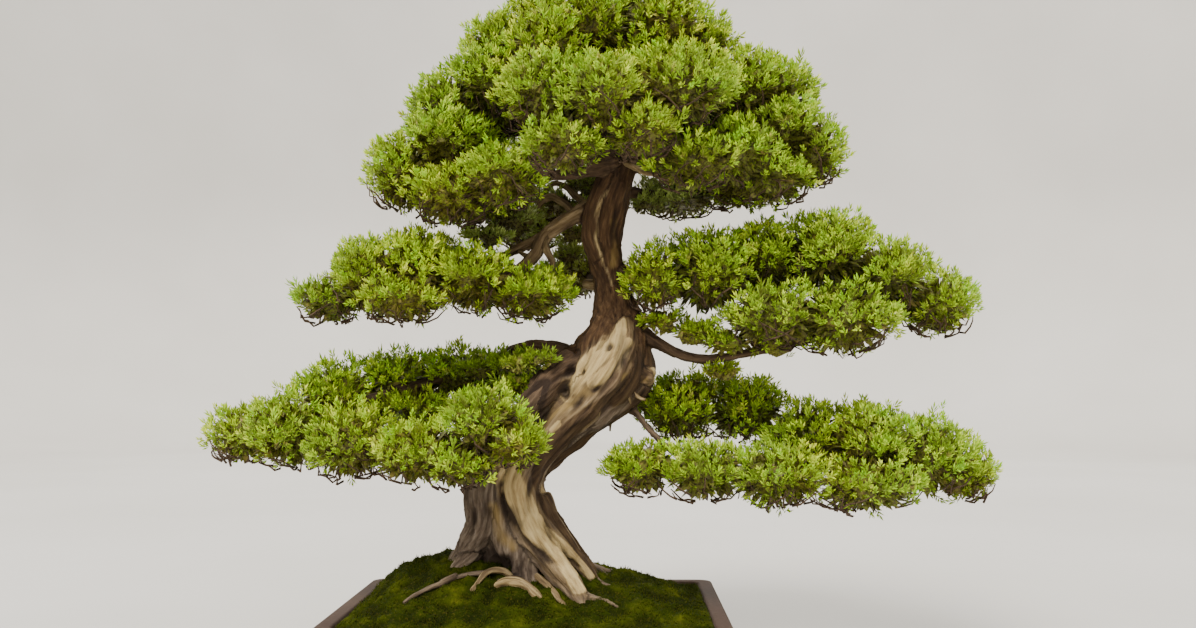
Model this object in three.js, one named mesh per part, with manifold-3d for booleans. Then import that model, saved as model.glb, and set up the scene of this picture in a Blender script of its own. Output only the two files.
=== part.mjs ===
// Juniper bonsai planted in a rectangular stoneware pot.
// The trunk leans, twists and is dead wood in part, and carries flat pads of foliage.
// Millimetres, +Z up. The origin is on the ground under the middle of the whole outline.

import * as THREE from 'three';
import { LoftGeometry } from 'three/addons/geometries/LoftGeometry.js';
import { mergeVertices } from 'three/addons/utils/BufferGeometryUtils.js';
import Module from 'manifold-3d';

const wasm = await Module();
wasm.setup();

// Clearance between pieces that touch
const GAP = 0.35;

// Pot
const POT_X = -87;
const POT_LENGTH = 465;
const POT_DEPTH = 340;
const RIM_Z = 90;
const FOOT_HEIGHT = 12;
const FLOOR_THICKNESS = 10;
const RIM_WIDTH = 18;
const CORNER_RADIUS = 16;
const FOOT_ARM = 64;
const FOOT_WIDTH = 24;
const FOOT_INSET = 30;
const DRAIN_RADIUS = 14;
const DRAIN_SPACING = 190;

// Drainage mesh
const MESH_SIDE = 46;
const MESH_THICKNESS = 1.2;
const MESH_HOLES = 3;
const MESH_BAR = 4;

// Ground inside the pot
const MOSS_EDGE_Z = 86;
const MOUND_HEIGHT = 62;
const MOSS_THICKNESS = 8;
const MOSS_LUMP = 2.5;
const SOIL_GRID = { columns: 8, rows: 5 };
const MOSS_GRID = { columns: 14, rows: 9 };

// The mound's top in plan and how far it spreads to each side, as shares of half the ground's size
const MOUND = { topX: -0.35, left: 0.72, right: 1.42, topY: 0.2, front: 0.744, back: 0.589 };

// Foliage: shoots, the cores that they stand on, and the patch of core that each has to itself
const SHOOT_LENGTH = 27;
const SHOOT_RADIUS = 3.2;
const SHOOT_SUNK = 7;
const SHOOT_SPREAD = 0.7;
const CORE_INSET = 13;
const SHOOT_AREA = 2290;

// A ball of twenty faces is this much larger than the ball whose volume it has
const BALL_RADIUS = 1.1;

// Colours
const finish = (color, roughness) => new THREE.MeshStandardMaterial({ color, roughness, metalness: 0 });
const STONEWARE = finish(0x5d463c, 0.7);
const PLASTIC = finish(0x1d1f1c, 0.6);
const EARTH = finish(0x2e2118, 0.95);
const MOSS = finish(0x3f5510, 0.95);
const WOOD = finish(0x8a7155, 0.8);
const GREEN = finish(0x5f8f23, 0.75);
const BLUE_GREEN = finish(0x4a7444, 0.75);

/** Random numbers from 0 to 1 that are the same on every run. */
function seeded(seed) {
  let state = seed >>> 0;
  return () => {
    state = (state + 0x6d2b79f5) >>> 0;
    let t = Math.imul(state ^ (state >>> 15), 1 | state);
    t = (t + Math.imul(t ^ (t >>> 7), 61 | t)) ^ t;
    return ((t ^ (t >>> 14)) >>> 0) / 4294967296;
  };
}

/** A closed geometry as a solid that can be joined and cut. */
function solidOf(geometry) {
  const bare = geometry.index ? geometry.toNonIndexed() : geometry.clone();
  for (const name of Object.keys(bare.attributes)) {
    if (name !== 'position') bare.deleteAttribute(name);
  }
  const merged = mergeVertices(bare, 1e-3);
  return new wasm.Manifold(new wasm.Mesh({
    numProp: 3,
    vertProperties: merged.attributes.position.array,
    triVerts: new Uint32Array(merged.index.array),
  }));
}

/** The solid's faces as a geometry. */
function geometryOf(solid) {
  const mesh = solid.getMesh();
  const geometry = new THREE.BufferGeometry();
  geometry.setAttribute('position', new THREE.BufferAttribute(mesh.vertProperties, mesh.numProp));
  geometry.setIndex(new THREE.BufferAttribute(mesh.triVerts, 1));
  geometry.computeVertexNormals();
  return geometry;
}

/** All the solids joined in one. */
const join = (solids) => wasm.Manifold.union(solids);

/** The largest body of a solid, with loose scraps left out and slivers smoothed away. */
function largestBody(solid) {
  const bodies = solid.simplify(0.05).decompose();
  return bodies.reduce((best, body) => (body.volume() > best.volume() ? body : best));
}

/** A named piece of the model. */
function piece(name, geometry, material) {
  const mesh = new THREE.Mesh(geometry, material);
  mesh.name = name;
  return mesh;
}

/** One level ring of a rounded rectangle, counterclockwise from above. */
function roundedRing(length, depth, radius, z, perCorner = 4) {
  const ring = [];
  const halfX = length / 2 - radius;
  const halfY = depth / 2 - radius;
  const corners = [[1, 1], [-1, 1], [-1, -1], [1, -1]];
  corners.forEach(([sx, sy], quarter) => {
    for (let i = 0; i < perCorner; i++) {
      const angle = (quarter + i / (perCorner - 1)) * Math.PI / 2;
      const x = POT_X + sx * halfX + radius * Math.cos(angle);
      const y = sy * halfY + radius * Math.sin(angle);
      ring.push(new THREE.Vector3(x, y, z));
    }
  });
  return ring;
}

/** A solid through level rings of the pot's plan, each given as its inset and its height. */
function potLoft(levels) {
  const rings = levels.map(([inset, z]) => roundedRing(
    POT_LENGTH - 2 * inset, POT_DEPTH - 2 * inset, Math.max(CORNER_RADIUS - inset * 0.4, 5), z));
  return new LoftGeometry(rings, { capStart: true, capEnd: true });
}

// The pot's outside from its underside up to the rim, and its inside from the floor up
const FLOOR_Z = FOOT_HEIGHT + FLOOR_THICKNESS;
const OUTER_LEVELS = [
  [26, FOOT_HEIGHT], [21, FOOT_HEIGHT + 5], [14, 38], [9, 62], [8, 71],
  [1.5, 75], [0, 78], [0, RIM_Z - 2], [2, RIM_Z],
];
const INNER_LEVELS = [
  [RIM_WIDTH + 17, FLOOR_Z], [RIM_WIDTH + 5, 60], [RIM_WIDTH + 2, RIM_Z - 3], [RIM_WIDTH, RIM_Z],
];

/** The room inside the pot's wall, drawn in by a clearance, and straight up past the rim. */
function insideOfPot(clearance = 0) {
  const levels = INNER_LEVELS.map(([inset, z], i) => [inset + clearance, i === 0 ? z + clearance : z]);
  return solidOf(potLoft([...levels, [RIM_WIDTH + clearance, RIM_Z + 100]]));
}

/** An L-shaped bracket foot under one corner, of arms that end in a quarter round. */
function cornerFoot(sx, sy) {
  const shape = new THREE.Shape();
  const round = FOOT_WIDTH / 2;
  shape.moveTo(0, 0);
  shape.lineTo(FOOT_ARM - round, 0);
  shape.absarc(FOOT_ARM - round, round, round, -Math.PI / 2, 0, false);
  shape.lineTo(FOOT_ARM, FOOT_WIDTH);
  shape.lineTo(FOOT_WIDTH + round, FOOT_WIDTH);
  shape.absarc(FOOT_WIDTH + round, FOOT_WIDTH + round, round, -Math.PI / 2, -Math.PI, true);
  shape.lineTo(FOOT_WIDTH, FOOT_ARM);
  shape.lineTo(round, FOOT_ARM);
  shape.absarc(round, FOOT_ARM - round, round, Math.PI / 2, Math.PI, false);
  const options = { depth: FOOT_HEIGHT - GAP, bevelEnabled: false, curveSegments: 3 };
  const quarterTurns = sx > 0 ? (sy > 0 ? 2 : 1) : (sy > 0 ? 3 : 0);
  const x = POT_X + sx * (POT_LENGTH / 2 - FOOT_INSET);
  const y = sy * (POT_DEPTH / 2 - FOOT_INSET);
  return new THREE.ExtrudeGeometry(shape, options).rotateZ(quarterTurns * Math.PI / 2).translate(x, y, 0);
}

const DRAIN_XS = [-DRAIN_SPACING / 2, DRAIN_SPACING / 2].map((offset) => POT_X + offset);

/** The pot's walls, floor and rim in one, with two drainage holes. */
function makePot() {
  const body = solidOf(potLoft(OUTER_LEVELS)).subtract(insideOfPot());
  const holes = DRAIN_XS.map((x) => {
    const drill = new THREE.CylinderGeometry(DRAIN_RADIUS, DRAIN_RADIUS, 40, 12);
    drill.rotateX(Math.PI / 2).translate(x, 0, FLOOR_Z);
    return solidOf(drill);
  });
  return geometryOf(body.subtract(join(holes)));
}

/** A square of plastic mesh that keeps the soil in over a drainage hole. */
function makeDrainMesh(x) {
  const hole = (MESH_SIDE - MESH_BAR * (MESH_HOLES + 1)) / MESH_HOLES;
  const plate = solidOf(new THREE.BoxGeometry(MESH_SIDE, MESH_SIDE, MESH_THICKNESS));
  const holes = Array.from({ length: MESH_HOLES * MESH_HOLES }, (_, i) => {
    const column = i % MESH_HOLES - (MESH_HOLES - 1) / 2;
    const row = Math.floor(i / MESH_HOLES) - (MESH_HOLES - 1) / 2;
    const punch = new THREE.BoxGeometry(hole, hole, 2 * MESH_THICKNESS);
    return solidOf(punch.translate(column * (hole + MESH_BAR), row * (hole + MESH_BAR), 0));
  });
  return geometryOf(plate.subtract(join(holes))).translate(x, 0, FLOOR_Z + GAP + MESH_THICKNESS / 2);
}

// Ground plan inside the rim
const GROUND_HALF_X = POT_LENGTH / 2 - RIM_WIDTH;
const GROUND_HALF_Y = POT_DEPTH / 2 - RIM_WIDTH;

// Blocks of ground start this much larger than the plan, and are then cut to the pot's inside
const GROUND_OVERRUN = 1.02;

/** Height of the moss: a mound that is highest behind the trunk's left and falls to the rim. */
function mossHeight(x, y) {
  const u = (x - POT_X) / GROUND_HALF_X;
  const v = y / GROUND_HALF_Y;
  const side = u - MOUND.topX;
  const across = side < 0
    ? 1 - Math.min(-side / MOUND.left, 1) ** 2.5
    : 1 - Math.min(side / MOUND.right, 1) ** 1.8;
  const depthwise = (v - MOUND.topY) / (v < MOUND.topY ? MOUND.front : MOUND.back);
  const along = Math.exp(-(depthwise ** 2));
  const edge = Math.max(1 - Math.abs(u) ** 12, 0) * Math.max(1 - Math.abs(v) ** 8, 0);
  const lumps = MOSS_LUMP * Math.sin(x * 0.11 + 1.3 * Math.sin(y * 0.07)) * Math.sin(y * 0.13 + 0.6);
  return MOSS_EDGE_Z + (MOUND_HEIGHT * across * along + lumps) * edge;
}

/** A block of ground from z = 0 up to a height, made of upright sections along X. */
function groundBlock(heightAt, { columns, rows }) {
  const halfX = GROUND_HALF_X * GROUND_OVERRUN;
  const halfY = GROUND_HALF_Y * GROUND_OVERRUN;
  const ys = Array.from({ length: rows + 1 }, (_, j) => halfY * (2 * j / rows - 1));
  const sections = [];
  for (let i = 0; i <= columns; i++) {
    const x = POT_X + halfX * (2 * i / columns - 1);
    const surface = ys.map((y) => new THREE.Vector3(x, y, heightAt(x, y))).reverse();
    sections.push([new THREE.Vector3(x, ys[0], 0), new THREE.Vector3(x, ys.at(-1), 0), ...surface]);
  }
  return solidOf(new LoftGeometry(sections, { capStart: true, capEnd: true }));
}

/** The soil's block, whose top follows the moss more plainly, raised by a clearance. */
const soilBlock = (clearance) => (
  groundBlock((x, y) => mossHeight(x, y) - MOSS_THICKNESS + clearance, SOIL_GRID));

/** Soil that fills the pot up to the moss, with one plain hole where the trunk stands. */
function makeSoil(rootHole) {
  const pockets = DRAIN_XS.map((x) => {
    const side = MESH_SIDE + 2 * GAP;
    return solidOf(new THREE.BoxGeometry(side, side, 2 * (MESH_THICKNESS + 2 * GAP)).translate(x, 0, FLOOR_Z));
  });
  const filled = soilBlock(0).intersect(insideOfPot(GAP));
  return geometryOf(largestBody(filled.subtract(join([rootHole, ...pockets]))));
}

/** Moss that covers the soil as one cushion, cut round the trunk's foot and roots. */
function makeMoss(rootHole) {
  const filled = groundBlock(mossHeight, MOSS_GRID).intersect(insideOfPot(GAP));
  return geometryOf(largestBody(filled.subtract(join([soilBlock(GAP * 1.3), rootHole]))));
}

/** A limb of wood: rings carried along a curve through points of x, y, z and radius. */
function limb(points, { sides = 6, perSpan = 1, grow = 0, flutes = 0, depth = 0, twist = 0 } = {}) {
  const curve = new THREE.CatmullRomCurve3(
    points.map(([x, y, z]) => new THREE.Vector3(x, y, z)), false, 'centripetal');
  const rings = (points.length - 1) * perSpan;
  const frames = curve.computeFrenetFrames(rings);
  const sections = [];
  for (let i = 0; i <= rings; i++) {
    const u = i / rings;
    const place = curve.getUtoTmapping(u) * (points.length - 1);
    const k = Math.min(Math.floor(place), points.length - 2);
    const radius = THREE.MathUtils.lerp(points[k][3], points[k + 1][3], place - k);
    const centre = curve.getPointAt(u);
    const end = i === 0 ? -grow : i === rings ? grow : 0;
    centre.addScaledVector(frames.tangents[i], end);
    const ring = [];
    for (let j = 0; j < sides; j++) {
      const angle = j / sides * Math.PI * 2;
      const fluted = radius * (1 + depth * Math.cos(flutes * angle + twist * u)) + grow;
      ring.push(centre.clone()
        .addScaledVector(frames.normals[i], fluted * Math.cos(angle))
        .addScaledVector(frames.binormals[i], fluted * Math.sin(angle)));
    }
    sections.push(ring);
  }
  return solidOf(new LoftGeometry(sections, { capStart: true, capEnd: true }));
}

// The trunk's heartwood, from the soil up to the tree's tip
const TRUNK = [
  [-105, 4, 72, 58], [-104, 4, 105, 56], [-104, 4, 140, 48], [-106, 5, 172, 44], [-113, 5, 205, 42],
  [-117, 4, 235, 40], [-106, 3, 262, 37], [-76, 2, 293, 35], [-42, 2, 324, 37], [-14, 0, 350, 44],
  [4, 0, 377, 48], [9, 0, 403, 44], [14, -1, 430, 34], [14, 0, 456, 27], [7, 0, 490, 20], [1, 0, 520, 23],
  [-1, 0, 550, 26], [7, 2, 592, 26], [20, 4, 632, 21], [23, 5, 680, 16], [21, 4, 735, 11], [25, 2, 790, 8],
  [27, 0, 822, 5],
];

// Strands that twist up round the heartwood: old bark, bleached dead wood and the live vein
const STRANDS = [
  [[-203, 8, 108, 8], [-186, 2, 133, 12], [-162, -4, 160, 19], [-146, -8, 190, 25], [-145, -8, 226, 28],
    [-136, -6, 257, 28], [-108, -4, 290, 27], [-76, -2, 322, 27], [-46, 0, 352, 30], [-28, 0, 384, 28]],
  [[-19, -70, 92, 8], [-31, -60, 112, 13], [-53, -46, 138, 16], [-78, -34, 168, 19], [-95, -30, 200, 21],
    [-100, -26, 235, 22], [-86, -22, 265, 22], [-56, -24, 300, 22], [-22, -30, 338, 24], [6, -34, 374, 25],
    [20, -26, 408, 22], [22, -12, 440, 17]],
  [[-4, -22, 104, 7], [-20, -22, 132, 9], [-42, -22, 158, 12], [-64, -22, 188, 14], [-80, -18, 218, 15]],
  [[2, 6, 100, 7], [-14, 4, 130, 8], [-32, 4, 158, 10], [-52, 5, 186, 12], [-72, 6, 215, 15],
    [-84, 4, 240, 18], [-74, 0, 264, 20], [-46, -2, 290, 20], [-16, -2, 318, 21], [18, -2, 338, 20],
    [40, -2, 360, 20], [42, -2, 392, 19], [30, 0, 430, 16]],
  [[-8, -14, 520, 12], [-16, -16, 550, 12], [-8, -16, 585, 12], [8, -10, 620, 11]],
];

// Surface roots, each from the trunk's foot out over the moss, which its tip sinks into
const ROOTS = [
  [[-160, -10, 152, 13], [-190, -14, 126, 9], [-222, -22, 112, 6], [-248, -28, 0, 4]],
  [[-98, -52, 112, 6], [-122, -64, 119, 5], [-144, -64, 121, 5], [-176, -70, 0, 4]],
  [[-74, -66, 102, 5], [-102, -72, 111, 6], [-128, -74, 111, 5], [-152, -78, 0, 4]],
  [[-88, -44, 128, 6], [-70, -68, 116, 5], [-52, -94, 106, 4], [-38, -116, 0, 4]],
  [[-34, -56, 112, 8], [-12, -74, 107, 6], [14, -86, 102, 5], [44, -96, 0, 4]],
  [[-136, 30, 140, 16], [-170, 66, 130, 10], [-206, 104, 0, 5]],
  [[-104, 44, 136, 16], [-104, 86, 124, 10], [-94, 132, 0, 5]],
  [[-66, 34, 138, 15], [-30, 72, 124, 10], [12, 112, 0, 5]],
  [[-56, 10, 134, 14], [-14, 26, 120, 9], [52, 42, 0, 5]],
];
const ROOT_TIP_DEPTH = 3;

// Branches, each from the trunk to its end inside the foliage that it carries
const BRANCHES = [
  [[-26, 6, 384, 15], [-60, 10, 400, 12], [-102, 26, 403, 11], [-148, 50, 388, 9], [-190, 66, 372, 7]],
  [[-34, -12, 384, 22], [-64, -26, 362, 18], [-90, -46, 336, 15], [-118, -76, 312, 9]],
  [[20, 0, 345, 10], [42, -6, 320, 7], [64, -18, 294, 6], [92, -34, 268, 5]],
  [[10, 24, 362, 10], [48, 52, 348, 7], [84, 72, 332, 6]],
  [[0, 0, 586, 14], [-36, -6, 568, 10], [-72, -12, 545, 9], [-88, -14, 516, 8], [-108, -16, 484, 6]],
  [[-70, -10, 546, 8], [-116, 8, 526, 6], [-150, 10, 506, 5]],
  [[30, 0, 434, 15], [64, -6, 412, 10], [95, -10, 394, 8], [124, -14, 387, 8], [168, -22, 398, 7],
    [206, -34, 424, 5]],
  [[8, 0, 502, 11], [34, -14, 494, 7], [60, -26, 488, 6]],
  [[0, 8, 574, 11], [-40, 58, 577, 7], [-88, 112, 575, 6]],
  [[14, 8, 602, 10], [50, 58, 608, 7], [76, 100, 613, 6]],
  [[6, 6, 500, 11], [-8, 56, 498, 8], [-26, 122, 506, 6]],
  [[2, 26, 376, 16], [0, 74, 368, 9], [0, 124, 372, 7]],
  [[20, 0, 650, 14], [-30, -6, 645, 9], [-96, -14, 640, 7]],
  [[18, -6, 634, 11], [-32, -40, 616, 7], [-80, -66, 606, 5]],
  [[22, 0, 640, 13], [70, -14, 632, 9], [126, -34, 630, 7]],
  [[22, -6, 652, 11], [18, -60, 650, 7], [8, -108, 664, 5]],
  [[22, 8, 684, 12], [50, 60, 692, 7], [62, 108, 704, 5]],
  [[22, 8, 676, 12], [-20, 62, 686, 7], [-50, 108, 698, 5]],
];

// The sawn stub of a lost branch, on the right of the trunk's thickest bend
const STUB = [[24, -8, 374, 16], [50, -14, 369, 12], [62, -17, 367, 10]];

// A hollow under the front of the trunk's foot, which the surface roots bridge
const HOLLOW = { centre: [-124, -52, 134], size: [30, 26, 17] };

// Cushions of foliage, bunch by bunch: centre x, y, z and half sizes in x, y, z
const BUNCHES = {
  lower_left: [[-450, 0, 294, 46, 58, 42], [-385, -12, 298, 60, 95, 53], [-345, 55, 342, 62, 90, 48],
    [-305, -48, 286, 65, 78, 50], [-215, -80, 276, 68, 70, 44], [-138, -95, 308, 56, 65, 50],
    [-100, -108, 280, 44, 52, 42], [-170, -98, 256, 50, 50, 38], [-272, 88, 362, 64, 85, 44],
    [-192, 86, 370, 62, 75, 40], [-125, 66, 362, 54, 52, 36], [-250, 66, 325, 70, 90, 42]],
  lower_right: [[100, 80, 322, 58, 80, 46], [185, 86, 322, 64, 78, 46], [48, -28, 254, 54, 52, 36],
    [122, -54, 253, 66, 68, 40], [205, -66, 248, 70, 72, 43], [262, 45, 288, 70, 100, 50],
    [325, 12, 280, 66, 120, 56], [396, 8, 266, 64, 95, 55], [442, 0, 247, 46, 58, 38],
    [310, -62, 240, 76, 68, 41]],
  mid_left: [[-344, 0, 462, 48, 55, 34], [-290, 0, 488, 56, 100, 55], [-230, 12, 500, 60, 112, 56],
    [-240, -60, 462, 60, 62, 38], [-160, -12, 484, 62, 105, 44], [-92, -18, 468, 58, 82, 38]],
  mid_right: [[66, -34, 484, 46, 58, 46], [130, -4, 494, 64, 96, 58], [206, 40, 512, 66, 105, 56],
    [280, 22, 518, 66, 120, 60], [350, 8, 486, 64, 110, 54], [416, 0, 456, 48, 76, 46],
    [204, -46, 438, 72, 66, 46], [290, -40, 438, 76, 76, 54]],
  back_left: [[-106, 146, 576, 54, 70, 40]],
  back_right: [[102, 138, 618, 64, 74, 34]],
  back_middle: [[-26, 150, 512, 52, 70, 38]],
  back_low: [[2, 152, 379, 56, 70, 36]],
  crown_left: [[-248, 4, 622, 54, 88, 56], [-192, 4, 655, 64, 120, 56], [-182, -42, 588, 62, 80, 44],
    [-118, -76, 602, 58, 74, 42], [-156, 42, 598, 60, 74, 38], [-192, 0, 704, 58, 84, 48],
    [-136, -8, 730, 68, 100, 58]],
  crown_right: [[222, 8, 670, 60, 110, 52], [258, 0, 646, 48, 78, 52], [158, -58, 634, 64, 78, 48],
    [206, -28, 610, 60, 74, 38], [106, -92, 618, 60, 66, 40], [172, 34, 614, 62, 70, 36],
    [178, 4, 724, 64, 95, 58], [220, 8, 722, 56, 78, 48]],
  crown_front: [[0, -156, 680, 56, 66, 50], [-42, -142, 630, 50, 62, 40], [44, -146, 644, 50, 60, 40],
    [-62, -116, 692, 64, 72, 54], [86, -110, 700, 76, 74, 54]],
  crown_top: [[-130, 10, 794, 58, 80, 48], [-72, 14, 818, 62, 76, 50], [-66, -46, 764, 66, 82, 58],
    [-15, -34, 798, 62, 76, 56], [30, 18, 828, 62, 76, 44], [75, -24, 800, 62, 80, 56],
    [128, 14, 794, 54, 76, 50], [60, -24, 752, 76, 78, 54]],
  crown_back: [[-145, 116, 742, 68, 76, 56], [-78, 132, 764, 66, 72, 58], [-10, 134, 776, 70, 72, 60],
    [60, 130, 764, 70, 74, 62], [124, 122, 744, 72, 76, 60], [184, 110, 708, 66, 72, 54],
    [-190, 106, 694, 66, 70, 54], [-66, 148, 700, 72, 62, 54], [72, 148, 700, 72, 62, 54]],
};
const IN_SHADE = ['back_left', 'back_right', 'back_middle', 'back_low'];

/** A rounded body of foliage or of space, stretched from a ball of twenty faces. */
function ball([x, y, z], [rx, ry, rz]) {
  const faceted = new THREE.IcosahedronGeometry(BALL_RADIUS, 0).rotateZ(x * 0.7 + y * 0.3);
  return faceted.scale(rx, ry, rz).translate(x, y, z);
}

/** The bare core of a bunch: its cushions, drawn in so that the shoots stand out of them. */
const makeCore = (cushions, inset) => join(cushions.map(([x, y, z, ...half]) => (
  solidOf(ball([x, y, z], half.map((size) => size - inset))))));

/** A root with its tip set to its place just under the moss. */
function sunk(points) {
  const [x, y, , radius] = points.at(-1);
  return [...points.slice(0, -1), [x, y, mossHeight(x, y) - ROOT_TIP_DEPTH, radius]];
}

/**
 * Trunk, strands, roots and branches, which grew as one piece and end in the foliage.
 * Only the heartwood goes down into the soil: strands and surface roots end on top of it.
 */
function makeWood(grow = 0) {
  const soil = soilBlock(2.2 * GAP - grow);
  const roots = ROOTS.map(sunk).map((points) => limb(points, { sides: 5, grow }).subtract(soil));
  const strands = STRANDS.map((points) => limb(points, { sides: 7, grow }).subtract(soil));
  const body = [
    limb(TRUNK, { sides: 12, grow, flutes: 4, depth: 0.09, twist: 5 }),
    ...strands,
    ...roots,
    ...BRANCHES.map((points) => limb(points, { sides: 6, grow })),
    limb(STUB, { sides: 7, grow }),
  ];
  const hollow = solidOf(ball(HOLLOW.centre, HOLLOW.size.map((size) => size - grow)));
  return join([join(body).subtract(hollow), ...roots.slice(1, 4)]);
}

/** How far a point is from a cushion's middle: 1 on its surface, when drawn in by an inset. */
function reach(point, [x, y, z, rx, ry, rz], inset = 0) {
  return Math.hypot((point.x - x) / (rx - inset), (point.y - y) / (ry - inset), (point.z - z) / (rz - inset));
}

/** Area of a rounded body with three half sizes, by the mean of its three sections. */
function surfaceArea(rx, ry, rz) {
  const power = 1.6;
  const mean = ((rx * ry) ** power + (rx * rz) ** power + (ry * rz) ** power) / 3;
  return 4 * Math.PI * mean ** (1 / power);
}

/**
 * Shoots spread evenly over a bunch's core, which lean outwards and up.
 * One is left out where its tip would be inside the core, or nearer to another bunch than to its own.
 */
function makeShoots(cushions, others, random) {
  const shoots = [];
  const golden = Math.PI * (3 - Math.sqrt(5));
  for (const cushion of cushions) {
    const [x, y, z, ...half] = cushion;
    const [rx, ry, rz] = half.map((size) => size - CORE_INSET);
    const count = Math.round(surfaceArea(rx, ry, rz) / SHOOT_AREA);
    const offset = random();
    for (let i = 0; i < count; i++) {
      const level = 1 - 2 * (i + 0.5) / count;
      const ring = Math.sqrt(1 - level * level);
      const angle = golden * i + 2 * Math.PI * offset;
      const unit = new THREE.Vector3(ring * Math.cos(angle), ring * Math.sin(angle), level);
      const root = new THREE.Vector3(x + rx * unit.x, y + ry * unit.y, z + rz * unit.z);
      const aim = new THREE.Vector3(unit.x / rx, unit.y / ry, unit.z / rz).normalize();
      const lean = new THREE.Vector3(random() - 0.5, random() - 0.5, random() * 0.8 - 0.1);
      aim.addScaledVector(lean, SHOOT_SPREAD).normalize();
      const length = SHOOT_LENGTH * (0.85 + 0.3 * random());
      const tip = root.clone().addScaledVector(aim, length - SHOOT_SUNK);
      const buried = cushions.some((other) => other !== cushion && reach(tip, other, CORE_INSET) < 1.05);
      const own = Math.min(...cushions.map((other) => reach(tip, other)));
      const crowded = others.some((other) => reach(tip, other, CORE_INSET) < 1.12 || reach(tip, other) < own + 0.06);
      if (!buried && !crowded) shoots.push({ root, aim, length });
    }
  }
  return shoots;
}

/** One shoot: a slim three-sided spike with its root sunk in the core. */
function makeShoot({ root, aim, length }) {
  const spike = new THREE.ConeGeometry(SHOOT_RADIUS, length, 3);
  spike.translate(0, length / 2 - SHOOT_SUNK, 0);
  spike.applyQuaternion(new THREE.Quaternion().setFromUnitVectors(new THREE.Vector3(0, 1, 0), aim));
  return solidOf(spike.translate(root.x, root.y, root.z));
}

/** A bunch of foliage: core and shoots in one, clear of the wood and of the bunches before it. */
function makeBunch(name, index, woodHole, earlierCores) {
  const others = Object.entries(BUNCHES).filter(([key]) => key !== name).flatMap(([, rows]) => rows);
  const shoots = makeShoots(BUNCHES[name], others, seeded(101 + index));
  const core = makeCore(BUNCHES[name], CORE_INSET);
  const cleared = earlierCores.length ? core.subtract(join(earlierCores)) : core;
  const whole = join([cleared, ...shoots.map(makeShoot)]);
  return geometryOf(largestBody(whole.subtract(woodHole)));
}

const bonsai = new THREE.Group();
const woodHole = makeWood(GAP);

bonsai.add(piece('pot', makePot(), STONEWARE));
for (const [depthwise, sy] of [['front', -1], ['back', 1]]) {
  for (const [side, sx] of [['left', -1], ['right', 1]]) {
    bonsai.add(piece(`pot_foot_${depthwise}_${side}`, cornerFoot(sx, sy), STONEWARE));
  }
}
DRAIN_XS.forEach((x, i) => {
  bonsai.add(piece(`drain_mesh_${['left', 'right'][i]}`, makeDrainMesh(x), PLASTIC));
});
bonsai.add(piece('soil', makeSoil(woodHole), EARTH));
bonsai.add(piece('moss', makeMoss(woodHole), MOSS));
bonsai.add(piece('wood', geometryOf(largestBody(makeWood())), WOOD));
Object.keys(BUNCHES).forEach((name, index) => {
  const earlier = Object.values(BUNCHES).slice(0, index).map((rows) => makeCore(rows, CORE_INSET - 1));
  const material = IN_SHADE.includes(name) ? BLUE_GREEN : GREEN;
  bonsai.add(piece(`foliage_${name}`, makeBunch(name, index, woodHole, earlier), material));
});

export default bonsai;
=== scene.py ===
# %% [markdown]
# # A juniper bonsai in a stoneware pot
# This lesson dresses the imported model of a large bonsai: its twisted trunk that is partly dead wood, its pads
# of fine needles, the moss at its foot and the pot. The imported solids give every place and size, so each piece
# here is worked out in millimetres in the same frame and only turned into metres when its mesh is made.

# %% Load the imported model
import math
import bpy
import numpy as np
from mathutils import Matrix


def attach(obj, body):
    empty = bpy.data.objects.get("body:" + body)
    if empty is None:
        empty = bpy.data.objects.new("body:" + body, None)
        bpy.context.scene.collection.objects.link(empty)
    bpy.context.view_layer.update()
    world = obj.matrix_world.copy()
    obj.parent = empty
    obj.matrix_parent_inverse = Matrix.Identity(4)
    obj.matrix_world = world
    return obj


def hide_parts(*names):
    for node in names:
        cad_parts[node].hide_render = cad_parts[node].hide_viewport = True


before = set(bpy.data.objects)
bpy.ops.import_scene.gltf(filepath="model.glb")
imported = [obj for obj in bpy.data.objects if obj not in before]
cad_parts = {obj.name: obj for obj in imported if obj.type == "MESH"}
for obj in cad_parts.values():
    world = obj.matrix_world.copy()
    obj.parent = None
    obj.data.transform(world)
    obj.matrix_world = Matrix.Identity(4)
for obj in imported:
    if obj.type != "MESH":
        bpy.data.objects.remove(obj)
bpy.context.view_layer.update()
print("packed nodes:", len(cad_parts))

# %% [markdown]
# ## Meshes from arrays
# Every piece below is a surface worked out with arrays. One helper puts such arrays into a mesh, with any
# numbers for each point that a material reads later, and lets the piece ride on the part's only body.

# %% Put arrays into a mesh
MM = 0.001


def put_mesh(name, points, faces, values=None, smooth=True):
    """A new object from points in millimetres and lists of faces, each list with one number of corners.

    values maps an attribute's name to one number, or three, for each point.
    """
    mesh = bpy.data.meshes.new(name)
    faces = [np.asarray(rows) for rows in faces if len(rows)]
    corners = np.concatenate([rows.ravel() for rows in faces])
    sizes = np.concatenate([np.full(len(rows), rows.shape[1]) for rows in faces])
    mesh.vertices.add(len(points))
    mesh.vertices.foreach_set("co", (np.asarray(points) * MM).astype(np.float32).ravel())
    mesh.loops.add(len(corners))
    mesh.loops.foreach_set("vertex_index", corners.astype(np.int32))
    mesh.polygons.add(len(sizes))
    mesh.polygons.foreach_set("loop_start", (np.cumsum(sizes) - sizes).astype(np.int32))
    mesh.polygons.foreach_set("use_smooth", np.full(len(sizes), smooth))
    mesh.update(calc_edges=True)
    for key, data in (values or {}).items():
        data = np.asarray(data, np.float32)
        three = data.ndim == 2
        attribute = mesh.attributes.new(key, "FLOAT_VECTOR" if three else "FLOAT", "POINT")
        attribute.data.foreach_set("vector" if three else "value", data.ravel())
    piece = bpy.data.objects.new(name, mesh)
    bpy.context.scene.collection.objects.link(piece)
    return piece


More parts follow.
